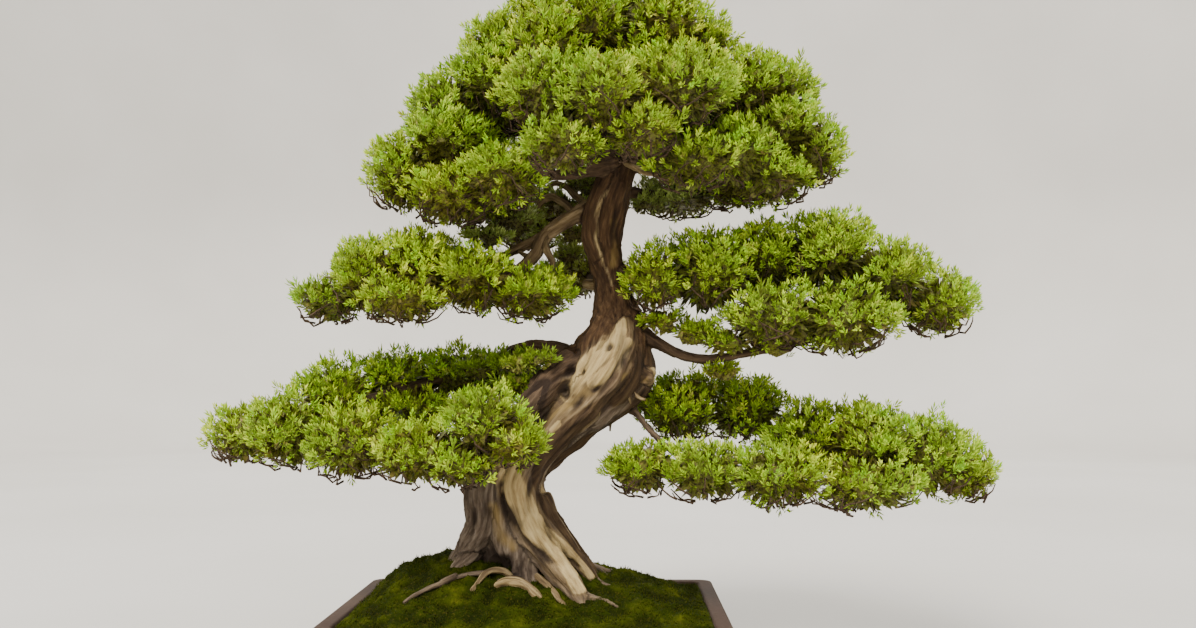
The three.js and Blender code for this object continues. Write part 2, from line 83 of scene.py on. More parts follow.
def add_piece(name, points, faces, replaced=(), values=None, smooth=True):
    """A mesh that belongs to the bonsai: it rides on the body and hides the nodes it replaces."""
    piece = put_mesh(name, points, faces, values, smooth)
    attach(piece, "root")
    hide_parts(*replaced)
    triangles = sum(len(rows) * (np.asarray(rows).shape[1] - 2) for rows in faces if len(rows))
    print(f"{name}: {triangles} triangles")
    return piece


def gather(parts):
    """Several (points, quads, triangles) shapes as one, with the numbers of later points moved up."""
    starts = np.cumsum([0] + [len(part[0]) for part in parts])
    points = np.concatenate([part[0] for part in parts])
    quads = np.concatenate([part[1] + start for part, start in zip(parts, starts)])
    triangles = np.concatenate([part[2] + start for part, start in zip(parts, starts)])
    return points, quads, triangles

# %% [markdown]
# ## Noise, curves and tubes
# Bark, moss and foliage need smooth noise that is the same on every run. A sum of plane waves in random
# directions gives it for whole arrays at once. Wood is made of limbs: a curve through a few chosen points, and
# rings carried along it that turn as little as they can.

# %% Noise, curves and tubes


def waves(points, size, seed, count=24):
    """Smooth noise, mostly from -1 to 1: a sum of sine waves in random directions, each about `size` long."""
    rng = np.random.default_rng(seed)
    ways = rng.normal(size=(count, 3))
    ways /= np.linalg.norm(ways, axis=1, keepdims=True)
    lengths = size * rng.uniform(0.7, 1.5, count)
    phases = rng.uniform(0, 2 * math.pi, count)
    total = np.sin(points @ (ways.T * 2 * math.pi / lengths) + phases).sum(axis=1)
    return total / math.sqrt(count / 2) / 1.6


def smooth_step(values, low, high):
    """0 below low, 1 above high, and a smooth S between them."""
    t = np.clip((values - low) / (high - low), 0, 1)
    return t * t * (3 - 2 * t)


def unit(vectors):
    """The same directions with length 1."""
    return vectors / np.maximum(np.linalg.norm(vectors, axis=-1, keepdims=True), 1e-9)


def curve_through(rows, step):
    """Rows about every `step` along a Catmull-Rom curve, each a cubic blend of its four nearest given rows."""
    rows = np.asarray(rows, float)
    padded = np.vstack([2 * rows[0] - rows[1], rows, 2 * rows[-1] - rows[-2]])
    spans = np.linalg.norm(np.diff(rows[:, :3], axis=0), axis=1)
    counts = np.maximum(np.ceil(spans / step).astype(int), 1)
    k = np.append(np.repeat(np.arange(len(spans)), counts), len(spans) - 1)
    t = np.append(np.concatenate([np.arange(count) / count for count in counts]), 1)[:, None]
    a, b, c, d = padded[k], padded[k + 1], padded[k + 2], padded[k + 3]
    return 0.5 * (2 * b + (c - a) * t + (2 * a - 5 * b + 4 * c - d) * t**2 + (3 * b - a - 3 * c + d) * t**3)


def carried_sides(path):
    """Two side directions at each point of a path, each turned only as the path itself turns."""
    along = unit(np.gradient(path, axis=0))
    side = np.cross(along[0], [0.0, 1.0, 0.0] if abs(along[0][1]) < 0.9 else [1.0, 0.0, 0.0])
    sides = []
    for direction in along:
        side = unit(side - direction * (side @ direction))
        sides.append(side)
    sides = np.array(sides)
    return sides, np.cross(along, sides)


def skin(rows, sides):
    """Quads and end triangles that close a grid of rings, whose last two points are the ends' middles."""
    i, j = np.meshgrid(np.arange(rows - 1), np.arange(sides), indexing="ij")
    here, beside = i * sides + j, i * sides + (j + 1) % sides
    quads = np.stack([here, beside, beside + sides, here + sides], axis=-1).reshape(-1, 4)
    ring = np.arange(sides)
    after = (ring + 1) % sides
    first, last = rows * sides, rows * sides + 1
    top = (rows - 1) * sides
    start = np.stack([after, ring, np.full(sides, first)], axis=1)
    end = np.stack([top + ring, top + after, np.full(sides, last)], axis=1)
    return quads, np.concatenate([start, end])


def tube(rows, step, sides, flutes=0, depth=0.0, twist=0.0):
    """A limb's skin: rings round a curve, whose radius swells `flutes` times round, in a slow screw."""
    path = curve_through(rows, step)
    centre, radius = path[:, :3], np.maximum(path[:, 3:], 0.3)
    across, beside = carried_sides(centre)
    angle = np.arange(sides) * 2 * math.pi / sides
    rise = np.linspace(0, 1, len(path))[:, None]
    swollen = (radius * (1 + depth * np.cos(flutes * angle + twist * rise)))[..., None]
    rings = centre[:, None] + swollen * (
        np.cos(angle)[None, :, None] * across[:, None] + np.sin(angle)[None, :, None] * beside[:, None])
    points = np.vstack([rings.reshape(-1, 3), centre[:1], centre[-1:]])
    return (points, *skin(*rings.shape[:2]))

# %% [markdown]
# ## Camera
# The photograph was taken a little below the crown, about 1.4 m in front of the trunk, looking slightly up. The
# pot's front and the crown's tip fall outside the frame, as they do there.

# %% Camera
camera_data = bpy.data.cameras.new("camera")
camera_data.sensor_width = 36.0
camera_data.lens = 36.0 * 1120 / 1196
camera_data.dof.use_dof = False
camera = bpy.data.objects.new("camera", camera_data)
camera.location = (0.018, -1.400, 0.3535)
camera.rotation_euler = (math.radians(93.78), 0.0, math.radians(1.02))
bpy.context.scene.collection.objects.link(camera)
bpy.context.scene.camera = camera
print("lens:", round(camera_data.lens, 2), "mm")

# %% [markdown]
# ## Light, floor and backdrop
# A wide soft light from above the viewer's left shoulder picks out the tops of the pads. Weaker ones fill in
# from the right and from behind, and a pale sky does the rest. Suns are used, as a lamp close by leaves an edge
# on the floor. Floor and backdrop are one wide round sheet that curves up at its rim, so that the tree can be
# looked at from every side.

# %% Light, floor and backdrop


def add_sun(name, compass, height, strength, softness, tint):
    """Light from far away: its compass angle from the front towards the left, and its height, in degrees."""
    data = bpy.data.lights.new(name, "SUN")
    data.energy = strength
    data.angle = math.radians(softness)
    data.color = tint
    lamp = bpy.data.objects.new(name, data)
    lamp.rotation_euler = (math.radians(90 - height), 0.0, math.radians(-compass))
    bpy.context.scene.collection.objects.link(lamp)
    print(f"{name}: {strength} from {height} degrees up")


add_sun("key_light", 28, 50, 3.5, 26, (1.0, 0.96, 0.89))
add_sun("fill_light", -50, 32, 0.5, 40, (1.0, 0.98, 0.95))
add_sun("back_light", 165, 50, 0.9, 30, (1.0, 0.97, 0.92))

world = bpy.data.worlds.new("studio")
world.use_nodes = True
world.node_tree.nodes["Background"].inputs["Color"].default_value = (0.93, 0.92, 0.89, 1.0)
world.node_tree.nodes["Background"].inputs["Strength"].default_value = 1.85
bpy.context.scene.world = world


def stage_sheet(sides=96, flat=5600.0, bend=1900.0, top=4300.0):
    """A level disc, a quarter round at its rim and a wall, turned round the upright axis."""
    turn = np.linspace(0, math.pi / 2, 16)
    radius = np.concatenate([[0.6 * flat], flat + bend * np.sin(turn), [flat + bend]])
    height = np.concatenate([[0.0], bend * (1 - np.cos(turn)), [top]])
    angle = np.arange(sides) * 2 * math.pi / sides
    rings = np.stack([
        radius[:, None] * np.cos(angle), radius[:, None] * np.sin(angle),
        height[:, None] * np.ones(sides)], axis=-1)
    i, j = np.meshgrid(np.arange(len(radius) - 1), np.arange(sides), indexing="ij")
    here, beside = i * sides + j, i * sides + (j + 1) % sides
    quads = np.stack([here, here + sides, beside + sides, beside], axis=-1).reshape(-1, 4)
    ring = np.arange(sides)
    middle = np.stack([ring, (ring + 1) % sides, np.full(sides, rings[..., 0].size)], axis=1)
    return np.vstack([rings.reshape(-1, 3), [[0, 0, 0]]]), quads, middle


sheet_points, sheet_quads, sheet_middle = stage_sheet()
backdrop = put_mesh("studio_floor", sheet_points, [sheet_quads, sheet_middle])

# %% [markdown]
# ## Writing shaders as sums
# A material's numbers are easier to read as an expression than as boxes and lines. One small class wraps a
# socket, so that 1 - mask works and adds its Math node by itself. Every other node comes from one method.

# %% Shader helpers


class Wire:
    """A node's output that can stand in sums and products of Python."""

    def __init__(self, finish, socket):
        self.finish = finish
        self.socket = socket

    def maths(self, operation, *values):
        return self.finish.node("ShaderNodeMath", {"operation": operation}, dict(enumerate(values)))

    def __add__(self, other):
        return self.maths("ADD", self, other)

    def __sub__(self, other):
        return self.maths("SUBTRACT", self, other)

    def __rsub__(self, other):
        return self.maths("SUBTRACT", other, self)

    def __mul__(self, other):
        return self.maths("MULTIPLY", self, other)

    __radd__ = __add__
    __rmul__ = __mul__

    def between(self, low, high):
        """0 where this is below low, 1 above high, and a smooth S between."""
        return self.finish.node(
            "ShaderNodeMapRange", {"interpolation_type": "SMOOTHSTEP"},
            {"Value": self, "From Min": low, "From Max": high})


class Finish:
    """A material in the making, whose colour, roughness and bump are wired with node()."""

    def __init__(self, name, **constants):
        self.material = bpy.data.materials.new(name)
        self.material.use_nodes = True
        self.tree = self.material.node_tree
        self.shader = self.tree.nodes["Principled BSDF"]
        for key, value in constants.items():
            self.shader.inputs[key.replace("_", " ")].default_value = value

    def feed(self, socket, value):
        """Link a wire to a socket, or set a plain number or colour on it."""
        if isinstance(value, Wire):
            self.tree.links.new(value.socket, socket)
        elif isinstance(value, (tuple, list)) and len(socket.default_value) == 4:
            socket.default_value = (*value[:3], 1.0)
        else:
            socket.default_value = value

    def node(self, kind, settings=None, inputs=None, output=0):
        """Any node: its settings first, then its sockets, by name or by number. Returns one output."""
        made = self.tree.nodes.new(kind)
        for key, value in (settings or {}).items():
            if key == "stops":
                for index, (place, colour) in enumerate(value):
                    stop = made.color_ramp.elements[index] if index < 2 else made.color_ramp.elements.new(place)
                    stop.position, stop.color = place, (*colour, 1.0)
            else:
                setattr(made, key, value)
        for key, value in (inputs or {}).items():
            self.feed(made.inputs[key], value)
        return Wire(self, made.outputs[output])

    def place(self):
        """Where on the piece: its object coordinates, in metres."""
        return self.node("ShaderNodeTexCoord", output="Object")

    def attribute(self, name, output="Fac"):
        """A value that the mesh carries for each point."""
        return self.node("ShaderNodeAttribute", {"attribute_name": name}, output=output)

    def noise(self, where, scale, detail=3.0, rough=0.55):
        """Cloudy noise from 0 to 1."""
        return self.node("ShaderNodeTexNoise", None, {
            "Vector": where, "Scale": scale, "Detail": detail, "Roughness": rough})

    def ramp(self, factor, *stops):
        """A colour that changes with a factor through the stops (place, colour)."""
        return self.node("ShaderNodeValToRGB", {"stops": stops}, {"Fac": factor})

    def mix(self, factor, first, second, blend="MIX"):
        """First colour where the factor is 0, second where it is 1."""
        made = self.tree.nodes.new("ShaderNodeMix")
        made.data_type = "RGBA"
        made.blend_type = blend
        self.feed(made.inputs[0], factor)
        self.feed(made.inputs[6], first)
        self.feed(made.inputs[7], second)
        return Wire(self, made.outputs[2])

    def bump(self, height, distance, strength=1.0):
        """Small relief from a height of 0 to 1 that stands for `distance` metres."""
        normal = self.node("ShaderNodeBump", None, {
            "Height": height, "Distance": distance, "Strength": strength}, output="Normal")
        self.feed(self.shader.inputs["Normal"], normal)

    def wire(self, **sockets):
        """Feed the shader's own sockets."""
        for key, value in sockets.items():
            self.feed(self.shader.inputs[key.replace("_", " ")], value)

    def cover(self, *pieces):
        """Give the material to the pieces."""
        for piece in pieces:
            piece.data.materials.clear()
            piece.data.materials.append(self.material)
        print(f"{self.material.name}: {len(self.tree.nodes)} nodes, on {len(pieces)} pieces")


paper = Finish("studio_paper", Roughness=0.95)
cloud = paper.noise(paper.place(), 0.8)
paper.wire(Base_Color=paper.ramp(cloud, (0.3, (0.55, 0.530, 0.495)), (0.7, (0.61, 0.590, 0.555))))
paper.cover(backdrop)

# %% [markdown]
# ## The pot
# The real pot is pressed from stoneware clay: a low rectangle with soft corners, walls that draw in below a
# flat rim, and a foot under each corner. One profile carried round a rounded rectangle gives walls, rim and
# floor as one closed skin. Two drainage holes are then cut from it.

# %% The pot's numbers
POT_X = -87.0
POT_LENGTH, POT_DEPTH = 465.0, 340.0
RIM_WIDTH = 18.0
FOOT_HEIGHT, FLOOR_Z = 12.0, 22.0
CORNER_RADIUS = 16.0
FOOT_ARM, FOOT_WIDTH, FOOT_INSET = 64.0, 24.0, 30.0
DRAIN_RADIUS, DRAIN_SPACING = 14.0, 190.0

# How far in from the pot's edge, and how high: up the outside, over the rim, down the inside
POT_PROFILE = [
    (30, 12), (27.5, 12.1), (26, 12.7), (24.4, 14.4), (21, 19), (17.2, 28), (14, 38), (11.2, 50), (9.2, 61),
    (8.4, 67), (8.1, 70), (7.4, 71.6), (5.6, 72.8), (3.2, 73.8), (1.4, 75.2), (0.4, 77), (0, 79), (0, 83),
    (0, 87), (0.3, 88.6), (1.2, 89.6), (2.6, 90), (9, 90), (15.6, 90), (17.2, 89.7), (18.2, 88.8), (19, 87),
    (20, 83), (21.5, 72), (23, 60), (26.5, 42), (31, 28), (33.5, 24), (36.5, 22.3), (40, 22)]


def rounded_ring(inset, per_corner=12):
    """Points of a level rounded rectangle, counterclockwise, drawn in by an inset at every side."""
    radius = max(CORNER_RADIUS - inset * 0.4, 5.0)
    quarter = np.linspace(0, math.pi / 2, per_corner)
    ring = []
    for turn, (sx, sy) in enumerate([(1, 1), (-1, 1), (-1, -1), (1, -1)]):
        x = POT_X + sx * (POT_LENGTH / 2 - inset - radius) + radius * np.cos(quarter + turn * math.pi / 2)
        y = sy * (POT_DEPTH / 2 - inset - radius) + radius * np.sin(quarter + turn * math.pi / 2)
        ring.append(np.stack([x, y], axis=1))
    return np.concatenate(ring)


def pot_skin():
    """The profile carried round the pot's plan, closed by a flat underside and a flat floor inside."""
    rings = np.array([np.c_[rounded_ring(inset), np.full(48, z)] for inset, z in POT_PROFILE])
    middle = np.array([[POT_X, 0, FOOT_HEIGHT], [POT_X, 0, FLOOR_Z]])
    points = np.vstack([rings.reshape(-1, 3), middle])
    return (points, *skin(*rings.shape[:2]))


def applied(piece):
    """The piece's mesh with its modifiers worked in: points in millimetres, and triangles."""
    bpy.context.view_layer.update()
    shown = piece.evaluated_get(bpy.context.evaluated_depsgraph_get())
    mesh = shown.to_mesh()
    mesh.calc_loop_triangles()
    points = np.empty(len(mesh.vertices) * 3, np.float32)
    mesh.vertices.foreach_get("co", points)
    corners = np.empty(len(mesh.loop_triangles) * 3, np.int32)
    mesh.loop_triangles.foreach_get("vertices", corners)
    shown.to_mesh_clear()
    return points.reshape(-1, 3).astype(float) / MM, corners.reshape(-1, 3)


def cut(piece, cutter):
    """Add a modifier that takes the cutter's space out of the piece."""
    modifier = piece.modifiers.new("cut", "BOOLEAN")
    modifier.operation = "DIFFERENCE"
    modifier.solver = "EXACT"
    modifier.object = cutter
    return modifier

# %% The pot's body
pot_points, pot_quads, pot_triangles = pot_skin()
raw_pot = put_mesh("raw_pot", pot_points, [pot_quads, pot_triangles])
drills = []
for side in (-0.5, 0.5):
    x = POT_X + side * DRAIN_SPACING
    drill_points, drill_quads, drill_triangles = tube(
        [[x, 0, -10, DRAIN_RADIUS], [x, 0, 40, DRAIN_RADIUS]], 50, 32)
    drill = put_mesh("drill", drill_points, [drill_quads, drill_triangles])
    cut(raw_pot, drill)
    drills.append(drill)
points, triangles = applied(raw_pot)
for scrap in [raw_pot, *drills]:
    bpy.data.objects.remove(scrap)
pot = add_piece("pot_body", points, [triangles], ["pot"])
print("pot faces:", len(triangles))

# %% [markdown]
# ## The pot's feet
# Each foot is an L of clay under a corner, with rounded ends. Its outline is drawn once, turned for each
# corner, and raised through a few levels that round off its lower edge.

# %% The pot's feet


def foot_outline():
    """An L-shaped outline from its outer corner, with half-round arm ends and a rounded inner corner."""
    width, arm, bend = FOOT_WIDTH, FOOT_ARM, 10.0
    def arc(x, y, radius, start, stop, count=8):
        turn = np.radians(np.linspace(start, stop, count))
        return np.stack([x + radius * np.cos(turn), y + radius * np.sin(turn)], axis=1)
    return np.concatenate([
        arc(4, 4, 4, 180, 270, 5), arc(arm - 12, 12, 12, -90, 0), arc(arm - 5, width - 5, 5, 0, 90, 5),
        arc(width + bend, width + bend, bend, -90, -180), arc(width - 5, arm - 5, 5, 0, 90, 5),
        arc(12, arm - 12, 12, 90, 180)])


def foot_skin(sx, sy):
    """The outline at four levels, drawn in towards its own middle line at the lowest."""
    outline = foot_outline()
    edge = np.roll(outline, -1, axis=0) - np.roll(outline, 1, axis=0)
    inward = unit(np.stack([-edge[:, 1], edge[:, 0]], axis=1))
    levels = [(1.6, 0.0), (0.5, 0.5), (0.0, 1.6), (0.0, FOOT_HEIGHT - 0.1)]
    rings = [np.c_[outline + inward * inset, np.full(len(outline), z)] for inset, z in levels]
    ring = np.array(rings)
    ring[..., 0] = POT_X + sx * (POT_LENGTH / 2 - FOOT_INSET - ring[..., 0])
    ring[..., 1] = sy * (POT_DEPTH / 2 - FOOT_INSET - ring[..., 1])
    if sx * sy < 0:
        ring = ring[:, ::-1]
    count = len(outline)
    quads = skin(*ring.shape[:2])[0]
    caps = np.stack([np.arange(count)[::-1], np.arange(count) + (len(levels) - 1) * count])
    return ring.reshape(-1, 3), quads, caps


feet = []
for depth_name, sy in (("front", -1), ("back", 1)):
    for side_name, sx in (("left", -1), ("right", 1)):
        foot_points, foot_quads, foot_caps = foot_skin(sx, sy)
        name = f"foot_{depth_name}_{side_name}"
        feet.append(add_piece(name, foot_points, [foot_quads, foot_caps], [f"pot_{name}"]))

# %% [markdown]
# ## Unglazed stoneware
# Fired without glaze, the clay is a purple brown with iron specks and a pale dusty bloom. Three noises do it:
# a broad one for the flow of colour in the kiln, cells for the specks, and a fine one for the grain.

# %% Stoneware
clay = Finish("stoneware", Roughness=0.6, Specular_IOR_Level=0.15)
spot = clay.place()
flow = clay.noise(spot, 9.0, 4.0)
grain = clay.noise(spot, 260.0, 3.0)
speck = clay.node("ShaderNodeTexVoronoi", None, {"Vector": spot, "Scale": 330.0}, output="Distance")
body_colour = clay.ramp(
    flow, (0.3, (0.034, 0.020, 0.015)), (0.55, (0.058, 0.035, 0.026)), (0.8, (0.090, 0.058, 0.042)))
speckled = clay.mix(1 - speck.between(0.05, 0.22), body_colour, (0.028, 0.018, 0.014))
dusted = clay.mix((grain - 0.5) * 0.5 + 0.16, speckled, (0.130, 0.088, 0.064))
clay.wire(Base_Color=dusted, Roughness=0.68 + 0.2 * flow)
clay.bump(grain + 0.6 * clay.noise(spot, 70.0, 2.0), 0.0006, 0.6)
clay.cover(pot, *feet)

# %% [markdown]
# ## Drainage mesh and soil
# Both are only seen from below, through the holes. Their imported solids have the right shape, so they stay and
# get a finish: black plastic, and dark grains of baked clay and bark.

# %% Drainage mesh and soil
plastic = Finish("mesh_plastic", Roughness=0.5)
wear = plastic.noise(plastic.place(), 120.0)
plastic.wire(Base_Color=plastic.ramp(wear, (0.35, (0.010, 0.012, 0.010)), (0.75, (0.030, 0.033, 0.028))))
plastic.cover(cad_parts["drain_mesh_left"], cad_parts["drain_mesh_right"])

earth = Finish("bonsai_soil", Roughness=0.95)
cell = earth.node("ShaderNodeTexVoronoi", None, {"Vector": earth.place(), "Scale": 230.0}, output="Color")
shade = earth.node("ShaderNodeSeparateColor", None, {"Color": cell})
bed = earth.node("ShaderNodeTexVoronoi", None, {"Vector": earth.place(), "Scale": 230.0}, output="Distance")
earth.wire(Base_Color=earth.ramp(
    shade, (0.1, (0.020, 0.014, 0.010)), (0.6, (0.065, 0.040, 0.024)), (0.95, (0.16, 0.11, 0.07))))
earth.bump(1 - bed, 0.002)
earth.cover(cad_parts["soil"])

# %% [markdown]
# ## The moss mound
# Moss grows as small cushions that run together, over a mound that peaks behind the trunk. The surface is a
# grid over the pot's inside: the mound's own formula, then cushions, then fine lumps. Short blades stand on it,
# because a smooth outline would look like felt. No dip goes down to the soil below.

# %% The mound's height
GROUND_HALF_X = POT_LENGTH / 2 - RIM_WIDTH
GROUND_HALF_Y = POT_DEPTH / 2 - RIM_WIDTH
MOSS_EDGE_Z, MOUND_HEIGHT, MOSS_HEM_Z = 86.0, 62.0, 78.0
MOSS_CLEARANCE = 0.6
DEEPEST_DIP = -2.6


def mound_height(x, y):
    """The moss without its cushions: highest a little left of the middle and behind it, low at the rim."""
    u, v = (x - POT_X) / GROUND_HALF_X, y / GROUND_HALF_Y
    side = u + 0.35
    across = np.where(
        side < 0, 1 - np.minimum(np.abs(side) / 0.72, 1) ** 2.5, 1 - np.minimum(np.abs(side) / 1.42, 1) ** 1.8)
    depthwise = (v - 0.2) / np.where(v < 0.2, 0.744, 0.589)
    edge = np.maximum(1 - np.abs(u) ** 12, 0) * np.maximum(1 - np.abs(v) ** 8, 0)
    return MOSS_EDGE_Z + MOUND_HEIGHT * across * np.exp(-(depthwise**2)) * edge


def moss_height(x, y):
    """The mound with its cushions: rounded lumps from folded noise, and finer ones on top."""
    flat = np.stack([x, y, np.zeros_like(x)], axis=-1).reshape(-1, 3)
    u, v = (x - POT_X) / GROUND_HALF_X, y / GROUND_HALF_Y
    edge = np.maximum(1 - np.abs(u) ** 16, 0) * np.maximum(1 - np.abs(v) ** 12, 0)
    broad = 5.0 * (0.5 - np.abs(waves(flat, 52, 11))) + 3.6 * (0.45 - np.abs(waves(flat, 24, 12)))
    fine = 1.3 * waves(flat, 11, 13) + 0.7 * waves(flat, 6.5, 14)
    lumps = np.maximum(broad + fine, 0.15 * (broad + fine) + DEEPEST_DIP)
    return mound_height(x, y) + lumps.reshape(x.shape) * (0.15 + 0.85 * edge)


def into_corner(x, y, radius=9.0, clearance=MOSS_CLEARANCE):
    """Points of a rectangle pulled in so that its corners become quarter rounds, clear of the pot's wall."""
    half = np.array([GROUND_HALF_X - clearance, GROUND_HALF_Y - clearance])
    inner = half - radius
    over = np.stack([np.abs(x - POT_X) - inner[0], np.abs(y) - inner[1]], axis=-1)
    both = (over > 0).all(axis=-1)
    length = np.linalg.norm(over, axis=-1)
    pull = np.where(both & (length > radius), radius / np.maximum(length, 1e-6), 1.0)
    over = np.where(both[..., None], over * pull[..., None], over)
    return POT_X + np.sign(x - POT_X) * (inner[0] + over[..., 0]), np.sign(y) * (inner[1] + over[..., 1])


# %% The moss carpet
columns, rows = 160, 114
grid_x, grid_y = into_corner(*np.meshgrid(
    POT_X + np.linspace(-1, 1, columns) * (GROUND_HALF_X - MOSS_CLEARANCE),
    np.linspace(-1, 1, rows) * (GROUND_HALF_Y - MOSS_CLEARANCE)))
top = np.stack([grid_x, grid_y, moss_height(grid_x, grid_y)], axis=-1)
border = np.concatenate([top[0, :-1], top[:-1, -1], top[-1, :0:-1], top[:0:-1, 0]])
index = np.arange(columns * rows).reshape(rows, columns)
loop = np.concatenate([index[0, :-1], index[:-1, -1], index[-1, :0:-1], index[:0:-1, 0]])
hem = np.c_[border[:, :2], np.full(len(border), MOSS_HEM_Z)]
carpet = np.vstack([top.reshape(-1, 3), hem, [[POT_X, 0.0, MOSS_HEM_Z]]])
hem_index = columns * rows + np.arange(len(loop))
quads = np.stack([index[:-1, :-1], index[:-1, 1:], index[1:, 1:], index[1:, :-1]], axis=-1).reshape(-1, 4)
wall = np.stack([loop, hem_index, np.roll(hem_index, -1), np.roll(loop, -1)], axis=1)
base = np.stack([hem_index, np.full(len(loop), len(carpet) - 1), np.roll(hem_index, -1)], axis=1)
moss_quads = np.concatenate([quads, wall])
print("moss from", round(float(top[..., 2].min()), 1), "to", round(float(top[..., 2].max()), 1), "mm high")

# %% [markdown]
# ## Thin spikes by the thousand
# A blade of moss is a slim cone of three sides. One function makes any number of them from their roots,
# directions, lengths and widths, without a loop.

# %% Spikes


def spikes(roots, ways, lengths, radii, seed):
    """Three-sided cones: a triangle round each root at right angles to its way, and a point at the far end."""
    rng = np.random.default_rng(seed)
    ways = unit(ways)
    helper = unit(rng.normal(size=ways.shape))
    across = unit(np.cross(ways, helper))
    beside = np.cross(ways, across)
    turns = np.arange(3) * 2 * math.pi / 3
    ring = roots[:, None] + radii[:, None, None] * (
        np.cos(turns)[None, :, None] * across[:, None] + np.sin(turns)[None, :, None] * beside[:, None])
    tips = roots + ways * lengths[:, None]
    points = np.concatenate([ring, tips[:, None]], axis=1).reshape(-1, 3)
    pattern = np.array([[0, 1, 3], [1, 2, 3], [2, 0, 3], [0, 2, 1]])
    triangles = (np.arange(len(roots))[:, None, None] * 4 + pattern).reshape(-1, 3)
    return points, triangles


# %% Moss with its blades
rng = np.random.default_rng(5)
blade_count, from_wall = 15000, 4
blade_x = POT_X + rng.uniform(-1, 1, blade_count) * (GROUND_HALF_X - from_wall)
blade_y = rng.uniform(-1, 1, blade_count) * (GROUND_HALF_Y - from_wall)
blade_x, blade_y = into_corner(blade_x, blade_y, clearance=3)
blade_roots = np.stack([blade_x, blade_y, moss_height(blade_x, blade_y) - 0.8], axis=1)
lean = np.c_[rng.normal(0, 0.45, (blade_count, 2)), np.ones(blade_count)]
blade_lengths = rng.uniform(2.6, 5.2, blade_count) * (0.75 + 0.5 * (waves(blade_roots, 20, 15) > 0))
blade_points, blade_faces = spikes(blade_roots, lean, blade_lengths, rng.uniform(0.5, 0.95, blade_count), 6)
moss_points = np.vstack([carpet, blade_points])
moss_tips = np.concatenate([np.zeros(len(carpet)), np.tile([0.15, 0.15, 0.15, 1.0], blade_count)])
# How far each point stands over the bare mound, with the hem set lowest: the finish paints shade into the low
# places with it
moss_swell = np.concatenate([
    (top[..., 2] - mound_height(grid_x, grid_y)).ravel(), np.full(len(loop) + 1, -4.0),
    np.repeat(blade_roots[:, 2] - mound_height(blade_x, blade_y) + 1.2, 4)])
moss = add_piece(
    "moss_carpet", moss_points, [moss_quads, base, blade_faces + len(carpet)], ["moss"],
    {"tip": moss_tips, "swell": moss_swell})

# %% Moss finish
velvet = Finish("moss_velvet", Roughness=0.95, Specular_IOR_Level=0.05)
spot = velvet.place()
patch = velvet.noise(spot, 26.0, 4.0)
fleck = velvet.noise(spot, 380.0, 2.0)
swell = velvet.attribute("swell")
tip = velvet.attribute("tip")
green = velvet.ramp(
    patch, (0.30, (0.008, 0.012, 0.001)), (0.48, (0.020, 0.029, 0.002)), (0.62, (0.046, 0.058, 0.003)),
    (0.78, (0.125, 0.125, 0.010)))
# Painted shade: the moss is darker where it lies low between its cushions and on its hem at the rim. Painted
# highlight: the blades are lighter towards their tips.
moss_with_painted_hollow_shade = velvet.mix(swell.between(-3.0, 1.5), velvet.mix(0.62, green, (0.008, 0.010, 0.001)), green)
lit = velvet.mix(tip * 0.25, moss_with_painted_hollow_shade, (0.13, 0.150, 0.010))
velvet.wire(Base_Color=velvet.mix(fleck.between(0.56, 0.72) * 0.35, lit, (0.13, 0.10, 0.015)))
velvet.bump(fleck, 0.0012)
velvet.cover(moss)

# %% [markdown]
# ## The trunk's limbs
# A juniper's trunk is a rope of strands, each of which fed one root: some still live, most have died and
# bleached. Each strand, root and branch is a row of points with a radius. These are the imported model's own
# points, and the branches go on further into the foliage.

# %% Points of the limbs
# What a limb can be: living bark, bleached dead wood, the live vein, or a young branch
BARK, DEAD, VEIN, BRANCH = range(4)

TRUNK = [
    [-105, 4, 72, 58], [-104, 4, 105, 56], [-104, 4, 140, 48], [-106, 5, 172, 44], [-113, 5, 205, 42],
    [-117, 4, 235, 40], [-106, 3, 262, 37], [-76, 2, 293, 35], [-42, 2, 324, 37], [-14, 0, 350, 44],
    [4, 0, 377, 48], [9, 0, 403, 44], [14, -1, 430, 34], [14, 0, 456, 27], [7, 0, 490, 20], [1, 0, 520, 23],
    [-1, 0, 550, 26], [7, 2, 592, 26], [20, 4, 632, 21], [23, 5, 680, 16], [21, 4, 735, 11], [25, 2, 790, 8],
    [27, 0, 822, 5],
]

STRANDS = [
    [[-203, 8, 108, 8], [-186, 2, 133, 12], [-162, -4, 160, 19], [-146, -8, 190, 25], [-145, -8, 226, 28],
        [-136, -6, 257, 28], [-108, -4, 290, 27], [-76, -2, 322, 27], [-46, 0, 352, 30], [-28, 0, 384, 28]],
    [[-19, -70, 92, 8], [-31, -60, 112, 13], [-53, -46, 138, 16], [-78, -34, 168, 19], [-95, -30, 200, 21],
        [-100, -26, 235, 22], [-86, -22, 265, 22], [-56, -24, 300, 22], [-22, -30, 338, 24], [6, -34, 374, 25],
        [20, -26, 408, 22], [22, -12, 440, 17]],
    [[-4, -22, 104, 7], [-20, -22, 132, 9], [-42, -22, 158, 12], [-64, -22, 188, 14], [-80, -18, 218, 15]],
    [[-2, 6, 100, 7], [-18, 4, 130, 7], [-37, 4, 158, 8], [-58, 5, 186, 9], [-79, 6, 215, 11],
        [-91, 4, 240, 14], [-78, 0, 264, 18], [-46, -2, 290, 20], [-16, -2, 318, 21], [18, -2, 338, 20],
        [40, -2, 360, 20], [42, -2, 392, 19], [30, 0, 430, 16]],
    [[-8, -14, 520, 12], [-16, -16, 550, 12], [-8, -16, 585, 12], [8, -10, 620, 11]],
]
STRAND_KINDS = [BARK, DEAD, DEAD, VEIN, DEAD]

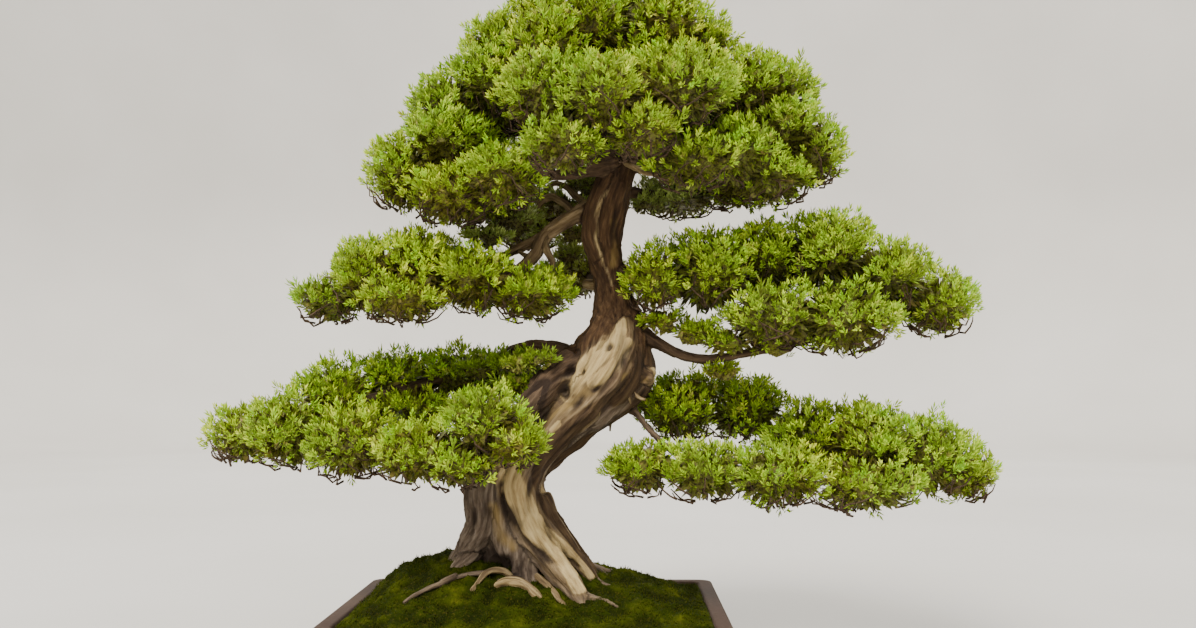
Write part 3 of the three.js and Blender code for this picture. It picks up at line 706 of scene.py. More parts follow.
ROOTS = [
    [[-160, -10, 152, 13], [-190, -14, 126, 9], [-222, -22, 112, 6], [-248, -28, 0, 4]],
    [[-108, -40, 128, 4.5], [-123, -37, 135, 5.5], [-140, -46, 134, 5.5], [-156, -64, 0, 4]],
    [[-134, -50, 116, 5], [-115, -54, 125, 7.5], [-94, -60, 123, 8], [-72, -72, 0, 5]],
    [[-100, -26, 138, 6], [-82, -37, 130, 5.5], [-66, -52, 120, 5], [-52, -72, 110, 4.2], [-38, -98, 0, 3]],
    [[-36, -56, 114, 7], [-18, -64, 110, 5], [2, -72, 105, 3.5], [24, -84, 0, 2.5]],
    [[-136, 30, 140, 16], [-170, 66, 130, 10], [-206, 104, 0, 5]],
    [[-104, 44, 136, 16], [-104, 86, 124, 10], [-94, 132, 0, 5]],
    [[-66, 34, 138, 15], [-30, 72, 124, 10], [12, 112, 0, 5]],
    [[-56, 10, 134, 14], [-14, 26, 120, 9], [52, 42, 0, 5]],
]
ROOT_TIP_DEPTH = 3.0
ROOT_KINDS = [BARK, DEAD, DEAD, DEAD, DEAD, BARK, BARK, BARK, BARK]

BRANCHES = [
    [[-26, 6, 384, 15], [-60, 10, 400, 12], [-102, 26, 403, 11], [-150, 50, 386, 9], [-215, 60, 366, 8],
     [-290, 38, 342, 7], [-355, 16, 322, 5], [-425, 0, 300, 4]],
    [[-34, -12, 384, 22], [-64, -26, 362, 18], [-90, -46, 332, 15], [-112, -72, 306, 11], [-160, -92, 284, 7],
     [-220, -90, 274, 5], [-300, -60, 280, 4]],
    [[20, 0, 345, 8], [42, -6, 320, 4.5], [64, -18, 294, 4], [104, -34, 266, 4.5], [180, -34, 254, 6],
     [260, -10, 258, 6], [340, 8, 258, 5], [425, 4, 246, 4]],
    [[10, 24, 362, 10], [54, 56, 346, 7], [120, 84, 322, 6], [190, 96, 300, 5], [250, 80, 290, 4]],
    [[0, 0, 586, 14], [-36, -6, 568, 10], [-72, -12, 545, 9], [-88, -14, 516, 8], [-130, -14, 484, 8],
     [-200, -8, 474, 7], [-270, -6, 470, 5], [-335, -4, 460, 4]],
    [[-70, -10, 546, 8], [-116, 8, 526, 6], [-172, 30, 508, 5], [-232, 50, 498, 4]],
    [[30, 0, 434, 13], [62, -8, 413, 8.5], [92, -12, 396, 6.5], [124, -14, 389, 6], [175, -20, 396, 5.5],
     [245, -14, 414, 7], [315, 4, 430, 6], [385, 4, 446, 4]],
    [[8, 0, 502, 11], [38, -14, 494, 7], [86, -20, 484, 6], [134, -4, 486, 5], [195, 24, 494, 4]],
    [[0, 8, 574, 11], [-42, 60, 577, 7], [-86, 112, 575, 6], [-108, 164, 578, 4]],
    [[14, 8, 602, 10], [54, 60, 608, 7], [84, 112, 612, 6], [98, 166, 618, 4]],
    [[6, 6, 500, 11], [-8, 58, 497, 8], [-22, 118, 504, 6], [-22, 176, 508, 5]],
    [[2, 26, 376, 16], [0, 80, 367, 9], [1, 132, 371, 7], [3, 190, 376, 5]],
    [[20, 0, 650, 14], [-36, -6, 644, 9], [-106, -14, 636, 8], [-180, -8, 630, 6], [-240, 0, 622, 4]],
    [[18, -6, 634, 11], [-32, -46, 615, 7], [-86, -74, 602, 5], [-150, -60, 592, 4]],
    [[22, 0, 640, 13], [76, -14, 630, 9], [146, -28, 628, 7], [206, -6, 638, 6], [256, 0, 645, 4]],
    [[24, -6, 660, 11], [60, -60, 636, 6], [98, -96, 622, 4]],
    [[22, -6, 652, 11], [18, -60, 646, 7], [6, -118, 660, 5], [0, -152, 676, 4]],
    [[21, 2, 716, 9], [-40, -12, 712, 7], [-100, -16, 722, 6], [-172, -2, 712, 4]],
    [[21, 2, 706, 10], [80, -14, 702, 7], [140, -8, 715, 6], [208, 8, 728, 4]],
    [[22, 8, 690, 12], [12, 70, 702, 7], [0, 132, 728, 5]],
    [[22, 8, 676, 12], [-40, 64, 687, 6], [-116, 104, 700, 5], [-180, 110, 690, 4]],
    [[22, 8, 684, 12], [70, 72, 694, 6], [130, 112, 706, 5], [180, 114, 702, 4]],
    [[23, 2, 768, 8], [-20, -18, 780, 5], [-70, -8, 794, 4]],
    [[23, 2, 774, 8], [70, -14, 784, 5], [122, 8, 790, 4]],
]

STUB = [[24, -8, 374, 16], [50, -14, 369, 12], [62, -17, 367, 10]]
HOLLOW_CENTRE, HOLLOW_SIZE = np.array([-130.0, -44.0, 138.0]), np.array([24.0, 30.0, 15.0])

# %% [markdown]
# ## Growing the limbs together
# Where real limbs meet, wood flows round the joint. Tubes pushed into one another show hard creases, so a
# voxel remesh turns them into one skin first, and a little smoothing rounds the joints. The hollow under the
# trunk's foot is cut out of that skin, and the roots that bridge it are added after.

# %% One skin for the trunk
VOXEL = 0.0028
FIRST_BRIDGE, PAST_BRIDGES = 1, 4


def sunk(rows):
    """A root with its tip set just under the moss."""
    x, y, _, radius = rows[-1]
    height = float(mound_height(np.array(x), np.array(y)))
    return [*rows[:-1], [x, y, height - ROOT_TIP_DEPTH, radius]]


def ellipsoid(centre, half, rings=16, sides=24):
    """A closed rounded body: circles whose size and height follow a half turn."""
    turn = np.linspace(0.12, math.pi - 0.12, rings)
    angle = np.arange(sides) * 2 * math.pi / sides
    ring = np.stack([
        np.sin(turn)[:, None] * np.cos(angle), np.sin(turn)[:, None] * np.sin(angle),
        -np.cos(turn)[:, None] * np.ones(sides)], axis=-1)
    points = np.vstack([ring.reshape(-1, 3), [[0, 0, -1]], [[0, 0, 1]]]) * half + centre
    return (points, *skin(*ring.shape[:2]))


roots = [sunk(rows) for rows in ROOTS]
thick = [tube(TRUNK, 6, 40, flutes=4, depth=0.09, twist=5.0)]
thick += [tube(rows, 6, 20) for rows in STRANDS]
thick += [tube(rows, 6, 14) for rows in roots[:FIRST_BRIDGE] + roots[PAST_BRIDGES:]]
thick += [tube(rows[:3], 6, 14) for rows in BRANCHES]
thick += [tube(STUB, 5, 20)]
body_points, body_quads, body_triangles = gather(thick)
raw_trunk = put_mesh("raw_trunk", body_points, [body_quads, body_triangles])
remesh = raw_trunk.modifiers.new("grow_together", "REMESH")
remesh.mode = "VOXEL"
remesh.voxel_size = VOXEL
hollow_points, hollow_quads, hollow_triangles = ellipsoid(HOLLOW_CENTRE, HOLLOW_SIZE)
hollow_cutter = put_mesh("hollow_cutter", hollow_points, [hollow_quads, hollow_triangles])
cut(raw_trunk, hollow_cutter).solver = "MANIFOLD"
remesh_again = raw_trunk.modifiers.new("even_out", "REMESH")
remesh_again.mode = "VOXEL"
remesh_again.voxel_size = VOXEL
soften = raw_trunk.modifiers.new("soften", "SMOOTH")
soften.factor = 0.5
soften.iterations = 3
trunk_points, trunk_triangles = applied(raw_trunk)
bpy.data.objects.remove(raw_trunk)
bpy.data.objects.remove(hollow_cutter)
print("trunk skin:", len(trunk_points), "points,", len(trunk_triangles), "triangles")

# %% [markdown]
# ## Which limb is this?
# Grain, ridges and colour all follow the strand that a point of the skin belongs to. Every point is measured
# against the middle lines of all limbs: the nearest one, less its radius, gives the strand, how far up it the
# point is, and its angle round it.

# %% Follow the grain


def middle_lines(limbs, step=3.0):
    """All limbs' middle lines as one list of stations: centre, radius, sides, way from the root, and limb."""
    lines = []
    for number, rows in enumerate(limbs):
        path = curve_through(rows, step)
        across, beside = carried_sides(path[:, :3])
        travel = np.concatenate([[0], np.cumsum(np.linalg.norm(np.diff(path[:, :3], axis=0), axis=1))])
        lines.append((path[:, :3], path[:, 3], across, beside, travel, np.full(len(path), number)))
    names = ("centre", "radius", "across", "beside", "travel", "limb")
    return {name: np.concatenate(data) for name, data in zip(names, zip(*lines))}


def nearest_station(points, stations, chunk=3000):
    """For each point, the station whose distance less its radius is smallest."""
    nearest = []
    for start in range(0, len(points), chunk):
        apart = points[start:start + chunk, None] - stations["centre"][None]
        nearest.append((np.sqrt((apart**2).sum(axis=-1)) - stations["radius"]).argmin(axis=1))
    return np.concatenate(nearest)


def point_normals(points, triangles):
    """Area-weighted mean of the face normals round each point."""
    a, b, c = points[triangles[:, 0]], points[triangles[:, 1]], points[triangles[:, 2]]
    face = np.cross(b - a, c - a)
    normals = np.zeros_like(points)
    for corner in range(3):
        np.add.at(normals, triangles[:, corner], face)
    return unit(normals)


def spread(values, triangles, rounds):
    """Values averaged with their neighbours' along the triangles' edges, a number of times."""
    for _ in range(rounds):
        total = values * 2.0
        weight = np.full(len(values), 2.0)
        for first, second in ((0, 1), (1, 2), (2, 0)):
            np.add.at(total, triangles[:, first], values[triangles[:, second]])
            np.add.at(weight, triangles[:, first], 1.0)
        values = total / weight
    return values


def near_line(points, rows):
    """1 on a line through the rows x, y, z, width, and less away from it, as a bell curve of that width."""
    line = curve_through(rows, 2.5)
    near = np.zeros(len(points))
    close = (np.abs(points - line[:, :3].mean(axis=0)) < np.ptp(line[:, :3], axis=0) / 2 + 60).all(axis=1)
    apart = np.sqrt(((points[close, None] - line[None, :, :3]) ** 2).sum(axis=-1)) / line[:, 3]
    near[close] = np.exp(-(apart.min(axis=1) ** 2))
    return near


def follow(points, limbs, step=3.0):
    """For each point: its angle round the nearest limb, how far up it is, that limb's radius and its number."""
    stations = middle_lines(limbs, step)
    station = nearest_station(points, stations)
    off_axis = points - stations["centre"][station]
    turn = np.arctan2(
        (off_axis * stations["beside"][station]).sum(1), (off_axis * stations["across"][station]).sum(1))
    return turn, stations["travel"][station], stations["radius"][station], stations["limb"][station]


def along_grain(turn, travel, radius, limb):
    """Places for the wood's noise: round the limb by true width, along it seven times slower."""
    return np.c_[radius * np.cos(turn), radius * np.sin(turn), travel / 7 + limb * 37.0]


limbs = [TRUNK, *STRANDS, *roots, *BRANCHES, STUB]
FIRST_BRANCH = 1 + len(STRANDS) + len(roots)
GREY_LIMBS, GREY_PALENESS = [4, 5], 0.36
kinds = [BARK, *STRAND_KINDS, *ROOT_KINDS, *[BRANCH] * len(BRANCHES), DEAD]
angle, travel, radius, limb = follow(trunk_points, limbs)
print("limbs in the skin:", len(np.unique(limb)))

# %% [markdown]
# ## Ridges, grooves and knots
# Dead wood weathers into long ridges that twist with the strand. Living bark peels in narrow strips. Both are
# waves round the limb that shift slowly along it. Deep cracks and old knot holes are pressed in along lines
# drawn over the surface, and more such lines say where the wood is bleached, brown, ochre or still alive. The
# cracks, the knot holes, the low places between ridges and the hollow under the foot are also painted darker
# as shade, and one line paints shadow in the eye of the first limb.

# %% Lines drawn on the trunk
# Rows of x, y, z and width. Deep cracks, each with its depth in millimetres
CRACKS = [
    ([[-125, -40, 246, 2], [-119, -40, 214, 3], [-107, -44, 191, 3], [-94, -48, 172, 3], [-72, -56, 154, 3.5],
      [-52, -66, 141, 3]], 6.0),
    ([[-88, -42, 208, 3], [-70, -41, 179, 3.5], [-57, -40, 165, 3.5], [-45, -36, 151, 3.5],
      [-33, -31, 136, 3.5]], 6.0),
    ([[-70, -48, 370, 4], [-76, -50, 356, 8], [-82, -54, 341, 9], [-88, -46, 324, 7]], 7.0),
    ([[-48, -38, 348, 3], [-41, -38, 374, 4], [-29, -38, 394, 4], [-10, -42, 410, 4], [10, -42, 426, 3]], 3.5),
    ([[36, -43, 404, 3], [24, -55, 382, 4], [5, -61, 362, 4], [-14, -58, 346, 4], [-36, -50, 332, 3]], 3.5),
    ([[-146, -36, 236, 3], [-143, -40, 205, 5], [-140, -40, 176, 6], [-136, -42, 154, 6]], 5.0),
    ([[-158, -26, 214, 3], [-160, -28, 186, 4], [-166, -28, 162, 5]], 4.0),
    ([[-70, -44, 276, 3], [-84, -44, 252, 4], [-88, -42, 226, 4]], 3.5),
    ([[2, -24, 596, 3], [-1, -28, 566, 3], [-1, -28, 536, 3], [6, -24, 508, 3]], 3.0),
    ([[10, -26, 640, 3], [14, -24, 610, 3], [16, -24, 576, 4], [14, -24, 540, 3]], 2.5),
]
KNOT_HOLES = [
    ([[6, -49, 401, 4], [8, -48, 404, 4]], 8.0), ([[-39, -38, 373, 4], [-39, -37, 375, 4]], 7.0),
    ([[-27, -44, 372, 3], [-25, -44, 373, 3]], 6.0), ([[-48, -35, 346, 4], [-47, -35, 349, 4]], 6.0),
    ([[-12, -57, 351, 4], [-8, -57, 352, 4]], 5.0)]
# Bleached wood that shows on the front, as the photograph has it
BLEACHED = [
    [[25, -38, 436, 6], [16, -47, 411, 12], [1, -50, 397, 15], [-13, -48, 385, 16], [-26, -43, 370, 15],
     [-35, -42, 356, 13]],
    [[30, -42, 408, 8], [20, -53, 388, 9], [4, -59, 372, 9], [-12, -56, 359, 9]],
    [[-34, -40, 372, 8], [-44, -34, 360, 10], [-46, -32, 348, 9], [-40, -40, 340, 8]],
    [[-54, -47, 310, 4], [-60, -45, 303, 5]],
    [[-118, -36, 278, 12], [-112, -40, 249, 16], [-104, -45, 222, 19], [-90, -48, 198, 18], [-70, -51, 176, 15],
     [-50, -56, 159, 14], [-39, -62, 141, 12], [-29, -68, 122, 11]],
    [[-78, -41, 198, 5], [-62, -39, 175, 7], [-46, -37, 161, 8], [-32, -33, 147, 8], [-15, -29, 130, 7]],
    [[8, -18, 606, 3], [-4, -27, 581, 3.5], [-8, -26, 565, 3.5], [-9, -23, 549, 3.5], [-8, -26, 532, 3.5],
     [0, -21, 508, 3], [11, -20, 481, 3]]]
# Brown, half bleached wood
WEATHERED = [
    [[-33, -48, 332, 10], [-44, -49, 322, 11], [-55, -47, 311, 10], [-61, -45, 300, 9], [-92, -40, 274, 8]],
    [[-54, -34, 362, 7], [-59, -34, 342, 8], [-64, -35, 325, 8]]]
# Deep shadow in the eye of the first limb, which grows towards the viewer
DARK = [
    [[-68, -46, 360, 5], [-75, -47, 351, 8], [-79, -50, 339, 10], [-84, -42, 328, 9], [-89, -32, 319, 7]]]
# Ochre where old bark has just come off
OCHRE = [
    [[-8, -58, 352, 8], [-22, -55, 348, 9], [-40, -48, 336, 9], [-67, -38, 315, 10], [-74, -42, 303, 8]],
    [[-133, -36, 210, 10], [-128, -39, 193, 12], [-124, -40, 178, 12], [-108, -46, 164, 9]],
    [[50, -26, 364, 8], [38, -38, 368, 8], [24, -48, 366, 7]],
    [[14, -24, 560, 7], [16, -24, 530, 8], [12, -20, 505, 7]]]
# The live vein, dark and smooth, along the right of the foot and under the bend
LIVE_VEIN = [
    [[45, -31, 392, 14], [44, -31, 374, 14], [26, -38, 350, 16], [1, -45, 332, 14], [-20, -51, 316, 13],
     [-38, -44, 302, 14], [-55, -41, 285, 15], [-67, -38, 267, 15], [-76, -38, 251, 12], [-74, -30, 233, 13],
     [-66, -32, 212, 11], [-53, -29, 192, 10], [-39, -29, 173, 9], [-25, -28, 155, 8], [-13, -25, 139, 7],
     [-4, -22, 126, 6]]]

# %% Carve the trunk
kind_of = np.array(kinds)[limb]
lobes = np.round(np.clip(radius / 3.2, 3, 13))
drift = 1.6 * waves(np.c_[travel, limb * 90.0, np.zeros(len(limb))], 120, 21)
ridge = np.cos(lobes * angle + travel / 55 + drift * 2)
ridge = ridge + 0.6 * np.cos(2 * lobes * angle - travel / 80 + drift * 3)
grain_place = along_grain(angle, travel, radius, limb)
strips = waves(grain_place, 7.5, 22) + 0.6 * waves(grain_place, 4.6, 23)
relief = ridge * np.clip(radius * 0.045, 0.15, 1.5) + strips * np.where(kind_of == DEAD, 0.9, 1.25)
relief += 1.8 * waves(trunk_points, 42, 24) * smooth_step(radius, 6, 20)
carved = sum(near_line(trunk_points, line) * depth for line, depth in CRACKS + KNOT_HOLES)
hollow_near = np.exp(-(((trunk_points - HOLLOW_CENTRE) / (HOLLOW_SIZE * 1.15)) ** 4).sum(axis=1))
normals = point_normals(trunk_points, trunk_triangles)
facing = smooth_step(-normals[:, 1], -0.1, 0.35)
trunk_points = trunk_points + normals * (relief - carved)[:, None]


def painted(lines):
    """How strongly a point lies on any of the lines, on the side of the trunk that faces the front."""
    return np.max([near_line(trunk_points, line) for line in lines], axis=0) * facing


def limbs_of(kind, rounds):
    """1 on the limbs of a kind and 0 elsewhere, blurred where they meet."""
    return spread((kind_of == kind).astype(float), trunk_triangles, rounds)


strand_dead = limbs_of(DEAD, 4) * smooth_step(-trunk_points[:, 2], -500, -440)
front = smooth_step(-trunk_points[:, 1], 8, 26)
dead = np.maximum(strand_dead * (0.95 - 0.65 * front), 0.4 * painted(WEATHERED))
bleached = painted(BLEACHED) * (1.2 - 0.55 * smooth_step(trunk_points[:, 2], 450, 480))
grey = spread(np.isin(limb, FIRST_BRANCH + np.array(GREY_LIMBS)).astype(float), trunk_triangles, 3)
dead = np.clip(np.max([dead, bleached, GREY_PALENESS * grey], axis=0), 0, 1)
live = np.maximum(painted(LIVE_VEIN) * 1.2, limbs_of(VEIN, 2) * (1 - 0.8 * front))
ochre = painted(OCHRE)
# Painted shade: cracks, knot holes, the low places between ridges, the hollow under the foot and the eye of the
# first limb are darkened in colour
painted_shade_and_streaks = np.clip(carved / 6, 0, 1) + np.clip(-relief / 3.2, 0, 0.55) + 1.2 * hollow_near + 1.3 * painted(DARK)
painted_shade_and_streaks = spread(painted_shade_and_streaks, trunk_triangles, 1)
print("relief from", round(float(relief.min()), 1), "to", round(float(relief.max()), 1), "mm")

# %% [markdown]
# ## Thin branches and twigs
# Past the first hand's width a branch is thin enough to be a plain swept tube. Each cushion of foliage then
# gets twigs that run out from the branch inside it, and others that follow its underside and turn up at its
# edge, where the photograph shows them as a brown scalloped line.

# %% Cushions of foliage
# Centre x, y, z and half sizes of every cushion, bunch by bunch
BUNCHES = {
    "lower_left": [[-450, 0, 294, 46, 58, 42], [-385, -12, 298, 60, 95, 53], [-345, 55, 342, 62, 90, 48],
        [-305, -48, 286, 65, 78, 50], [-215, -80, 276, 68, 70, 44], [-138, -95, 310, 54, 65, 48],
        [-104, -108, 290, 42, 50, 35], [-170, -98, 266, 50, 50, 35], [-272, 88, 362, 64, 85, 44],
        [-192, 86, 370, 62, 75, 40], [-125, 66, 362, 54, 52, 36], [-250, 66, 325, 70, 90, 42]],
    "lower_right": [[100, 80, 322, 58, 80, 46], [185, 86, 322, 64, 78, 46], [48, -28, 254, 54, 52, 36],
        [122, -54, 253, 66, 68, 40], [205, -66, 248, 70, 72, 43], [262, 45, 288, 70, 100, 50],
        [325, 12, 280, 66, 120, 56], [396, 8, 266, 64, 95, 55], [442, 0, 247, 46, 58, 38],
        [310, -62, 240, 76, 68, 41]],
    "mid_left": [[-344, 0, 462, 48, 55, 34], [-290, 0, 488, 56, 100, 55], [-230, 12, 500, 60, 112, 56],
        [-240, -60, 462, 60, 62, 38], [-160, -12, 484, 62, 105, 44], [-92, -18, 468, 58, 82, 38]],
    "mid_right": [[66, -34, 484, 46, 58, 46], [130, -4, 494, 64, 96, 58], [206, 40, 512, 66, 105, 56],
        [280, 22, 518, 66, 120, 60], [350, 8, 486, 64, 110, 54], [416, 0, 456, 48, 76, 46],
        [204, -46, 438, 72, 66, 46], [290, -40, 438, 76, 76, 54]],
    "back_left": [[-106, 146, 576, 54, 70, 40]],
    "back_right": [[102, 138, 618, 64, 74, 34]],
    "back_middle": [[-26, 150, 512, 52, 70, 38]],
    "back_low": [[2, 152, 379, 56, 70, 36]],
    "crown_left": [[-248, 4, 622, 54, 88, 56], [-192, 4, 655, 64, 120, 56], [-182, -42, 588, 62, 80, 44],
        [-118, -76, 602, 58, 74, 42], [-156, 42, 598, 60, 74, 38], [-192, 0, 704, 58, 84, 48],
        [-136, -8, 730, 68, 100, 58]],
    "crown_right": [[222, 8, 670, 60, 110, 52], [258, 0, 646, 48, 78, 52], [158, -58, 634, 64, 78, 48],
        [206, -28, 610, 60, 74, 38], [106, -92, 618, 60, 66, 40], [172, 34, 614, 62, 70, 36],
        [178, 4, 724, 64, 95, 58], [220, 8, 722, 56, 78, 48]],
    "crown_front": [[0, -156, 680, 56, 66, 50], [-42, -142, 630, 50, 62, 40], [44, -146, 644, 50, 60, 40],
        [-62, -116, 692, 64, 72, 54], [86, -110, 700, 76, 74, 54]],
    "crown_top": [[-124, 10, 786, 56, 80, 46], [-72, 14, 818, 62, 76, 50], [-66, -46, 764, 66, 82, 58],
        [-15, -34, 798, 62, 76, 56], [30, 18, 828, 62, 76, 44], [75, -24, 800, 62, 80, 56],
        [120, 14, 787, 54, 76, 46], [60, -24, 752, 76, 78, 54]],
    "crown_back": [[-145, 116, 742, 68, 76, 56], [-78, 132, 764, 66, 72, 58], [-10, 134, 776, 70, 72, 60],
        [60, 130, 764, 70, 74, 62], [124, 122, 744, 72, 76, 60], [184, 110, 708, 66, 72, 54],
        [-190, 106, 694, 66, 70, 54], [-66, 148, 700, 72, 62, 54], [72, 148, 700, 72, 62, 54]],
}
IN_SHADE = ["back_left", "back_right", "back_middle", "back_low"]
print("cushions:", sum(len(rows) for rows in BUNCHES.values()))


def reach(points, cushions):
    """How far each point is from the nearest cushion's middle: 1 on its surface."""
    apart = (points[:, None] - cushions[None, :, :3]) / cushions[None, :, 3:]
    return np.sqrt((apart**2).sum(axis=-1)).min(axis=1)


def on_cushion(row, count, rng):
    """Points scattered over a cushion by the golden angle, then shaken, and their outward ways."""
    level = 1 - 2 * (np.arange(count) + rng.uniform(-0.6, 1.6, count)) / count
    level = np.clip(level, -1, 1)
    turn = np.arange(count) * math.pi * (3 - math.sqrt(5)) + rng.uniform(0, 6)
    turn += rng.normal(0, 1.1, count) / math.sqrt(count)
    around = np.sqrt(1 - level**2)
    ball = np.stack([around * np.cos(turn), around * np.sin(turn), level], axis=1)
    centre, half = np.array(row[:3], float), np.array(row[3:], float)
    return centre + ball * half, unit(ball / half)


def other_rows(rows, number):
    """A bunch's cushions but one, or one far away where there is no other."""
    rest = np.delete(np.array(rows, float), number, axis=0)
    return rest if len(rest) else np.array([[0.0, 0.0, -9e3, 1.0, 1.0, 1.0]])


# %% Twigs
TWIG_SIDES = 3
branch_line = middle_lines(BRANCHES, 5.0)


def inner_twigs(row, rest, rng, count=16):
    """Twigs from the branch that runs through the cushion, or from its middle, to points just inside it."""
    ends, outward = on_cushion(row, count, rng)
    centre = np.array(row[:3], float)
    inside = branch_line["centre"][reach(branch_line["centre"], np.array([row], float)) < 0.9]
    ends = centre + (ends - centre) * rng.uniform(0.7, 0.92, (count, 1))
    shapes = []
    for end in ends[(outward[:, 2] < 0.6) & (reach(ends, rest) > 0.9)]:
        start = inside[np.linalg.norm(inside - end, axis=1).argmin()] if len(inside) else centre
        length = np.linalg.norm(end - start)
        if length < 12:
            continue
        t = np.linspace(0, 1, 4)[:, None]
        bend = rng.normal(0, 0.09, (4, 3)) * length + [0, 0, -0.14 * length]
        size = np.linspace(min(2.4, 1.0 + length * 0.014), 0.7, 4)[:, None]
        line = start + (end - start) * t + bend * np.sin(t * math.pi)
        shapes.append(tube(np.hstack([line, size]), length / 5, TWIG_SIDES))
    return shapes


def hanging_twigs(row, rest, rng, count=18):
    """Twigs that follow a cushion's underside outwards, sag a little and turn up at its edge."""
    centre, half = np.array(row[:3], float), np.array(row[3:], float)
    shapes = []
    for _ in range(count):
        t = np.linspace(0, 1, 5)
        polar = rng.uniform(0.2, 0.8) + t * rng.uniform(0.45, 0.8)
        turn = rng.uniform(0, 2 * math.pi) + 0.5 * rng.normal() * t
        way = np.stack([np.sin(polar) * np.cos(turn), np.sin(polar) * np.sin(turn), -np.cos(polar)], axis=1)
        line = centre + way * half * rng.uniform(0.78, 0.93) + rng.normal(0, 1.6, (5, 3))
        line = line + np.outer(np.sin(t * math.pi), [0, 0, -2.0])
        if reach(line[2:3], rest)[0] > 0.97:
            shapes.append(tube(np.c_[line, np.linspace(1.7, 0.7, 5)], 14, TWIG_SIDES))
    return shapes


rng = np.random.default_rng(31)
twig_shapes = []
for rows in BUNCHES.values():
    for number, row in enumerate(rows):
        rest = other_rows(rows, number)
        twig_shapes += inner_twigs(row, rest, rng) + hanging_twigs(row, rest, rng)
print("twigs:", len(twig_shapes))

# %% [markdown]
# ## Snags and surface roots
# Short broken branches, bleached grey, are left on an old juniper on purpose. Roots as thick as a finger run
# out from the foot and dip under the moss. Those at the back wander at random, and those at the front are laid.

# %% Snags and surface roots
SNAGS = [
    [[-72, -12, 543, 6], [-73, -14, 528, 5], [-64, -10, 510, 4], [-68, -5, 496, 2]],
    [[-70, -13, 541, 6], [-80, -14, 525, 5], [-92, -10, 518, 4], [-107, -5, 524, 2]],
    [[-30, 20, 566, 6], [-49, 40, 591, 5], [-68, 50, 603, 5], [-84, 55, 596, 4], [-89, 50, 578, 3]],
    [[-20, 30, 590, 6], [-32, 60, 600, 5], [-52, 70, 620, 4], [-68, 70, 624, 4], [-79, 70, 612, 3]],
    [[-60, 6, 386, 6], [-74, 8, 402, 4.5], [-104, 15, 399, 3.5], [-137, 20, 380, 2]],
    [[8, 6, 490, 9], [-8, 14, 484, 8], [-24, 22, 486, 6]],
    [[22, -2, 640, 6], [40, -30, 626, 4], [52, -62, 612, 3], [66, -74, 608, 1.5]],
    [[9, -10, 332, 3], [10, -10, 316, 2], [8, -10, 300, 1.2]],
    [[26, -24, 356, 3.5], [31, -26, 344, 2.4], [34, -22, 334, 1.2]],
    [[34, -20, 354, 3.5], [42, -24, 343, 2.6], [52, -26, 340, 1.4]],
    [[-10, -30, 338, 3], [-4, -34, 326, 2], [-6, -30, 316, 1]],
]

# Thin roots that lie on the moss at the front
ROOT_LINES = [
    [[-200, -50, 118, 2], [-184, -43, 126, 2.8], [-166, -40, 129, 3.2], [-147, -37, 131, 3.2],
     [-122, -31, 133, 3]],
    [[-176, -40, 129, 4], [-196, -58, 121, 3.5], [-214, -66, 114, 3], [-232, -84, 104, 2]],
]


def surface_root(turn, length, size, rng):
    """A root that leaves the foot at a compass angle and wanders out, sinking into the moss towards its tip."""
    t = np.linspace(0, 1, 8)
    angle = turn + 0.45 * rng.normal() * t + 0.2 * np.sin(t * rng.uniform(4, 7) + rng.uniform(0, 6))
    far = 40 + length * t
    x, y = -84 + 1.2 * far * np.cos(angle), 2 + 0.92 * far * np.sin(angle)
    width = size * (1 - 0.65 * t)
    z = mound_height(x, y) + width * (0.35 - 1.2 * t) + 5 * (1 - t) ** 4
    return np.c_[x, y, z, width]


rng = np.random.default_rng(77)
root_rows = [
    surface_root(turn + rng.normal(0, 0.12), rng.uniform(30, 85), rng.uniform(3.0, 7.0), rng)
    for turn in np.linspace(0.1, math.pi - 0.1, 9)]
root_rows += [np.array(rows, float) for rows in ROOT_LINES]
snag_shapes = [tube(rows, 6, 8, flutes=3, depth=0.12, twist=2.0) for rows in SNAGS]
root_shapes = [tube(rows, 5, 9, flutes=3, depth=0.08, twist=1.5) for rows in root_rows]

# %% The wood as two pieces


def slim_start(rows):
    """A branch whose first rows are thinner, so that they hide in the trunk's carved skin."""
    rows = np.array(rows, float)
    rows[:3, 3] *= [0.55, 0.55, 0.9]
    return rows


slimmed = [slim_start(rows) for rows in BRANCHES]
branch_shapes = [tube(rows, 8, 10, flutes=3, depth=0.07, twist=4.0) for rows in slimmed]
bridges = roots[FIRST_BRIDGE:PAST_BRIDGES]
bridge_shapes = [
    tube(np.array(rows) * [1, 1, 1, 0.75] - [0, 0, 1, 0], 4, 12, flutes=2, depth=0.05, twist=3.0)
    for rows in bridges]


def weathered(shapes, paleness):
    """The shapes as one, gently bent by noise, with one paleness for all."""
    points, quads, triangles = gather(shapes)
    bent = points + 0.7 * np.stack([waves(points, 16, seed) for seed in (41, 42, 43)], axis=1)
    return bent, quads, triangles, np.full(len(points), paleness)


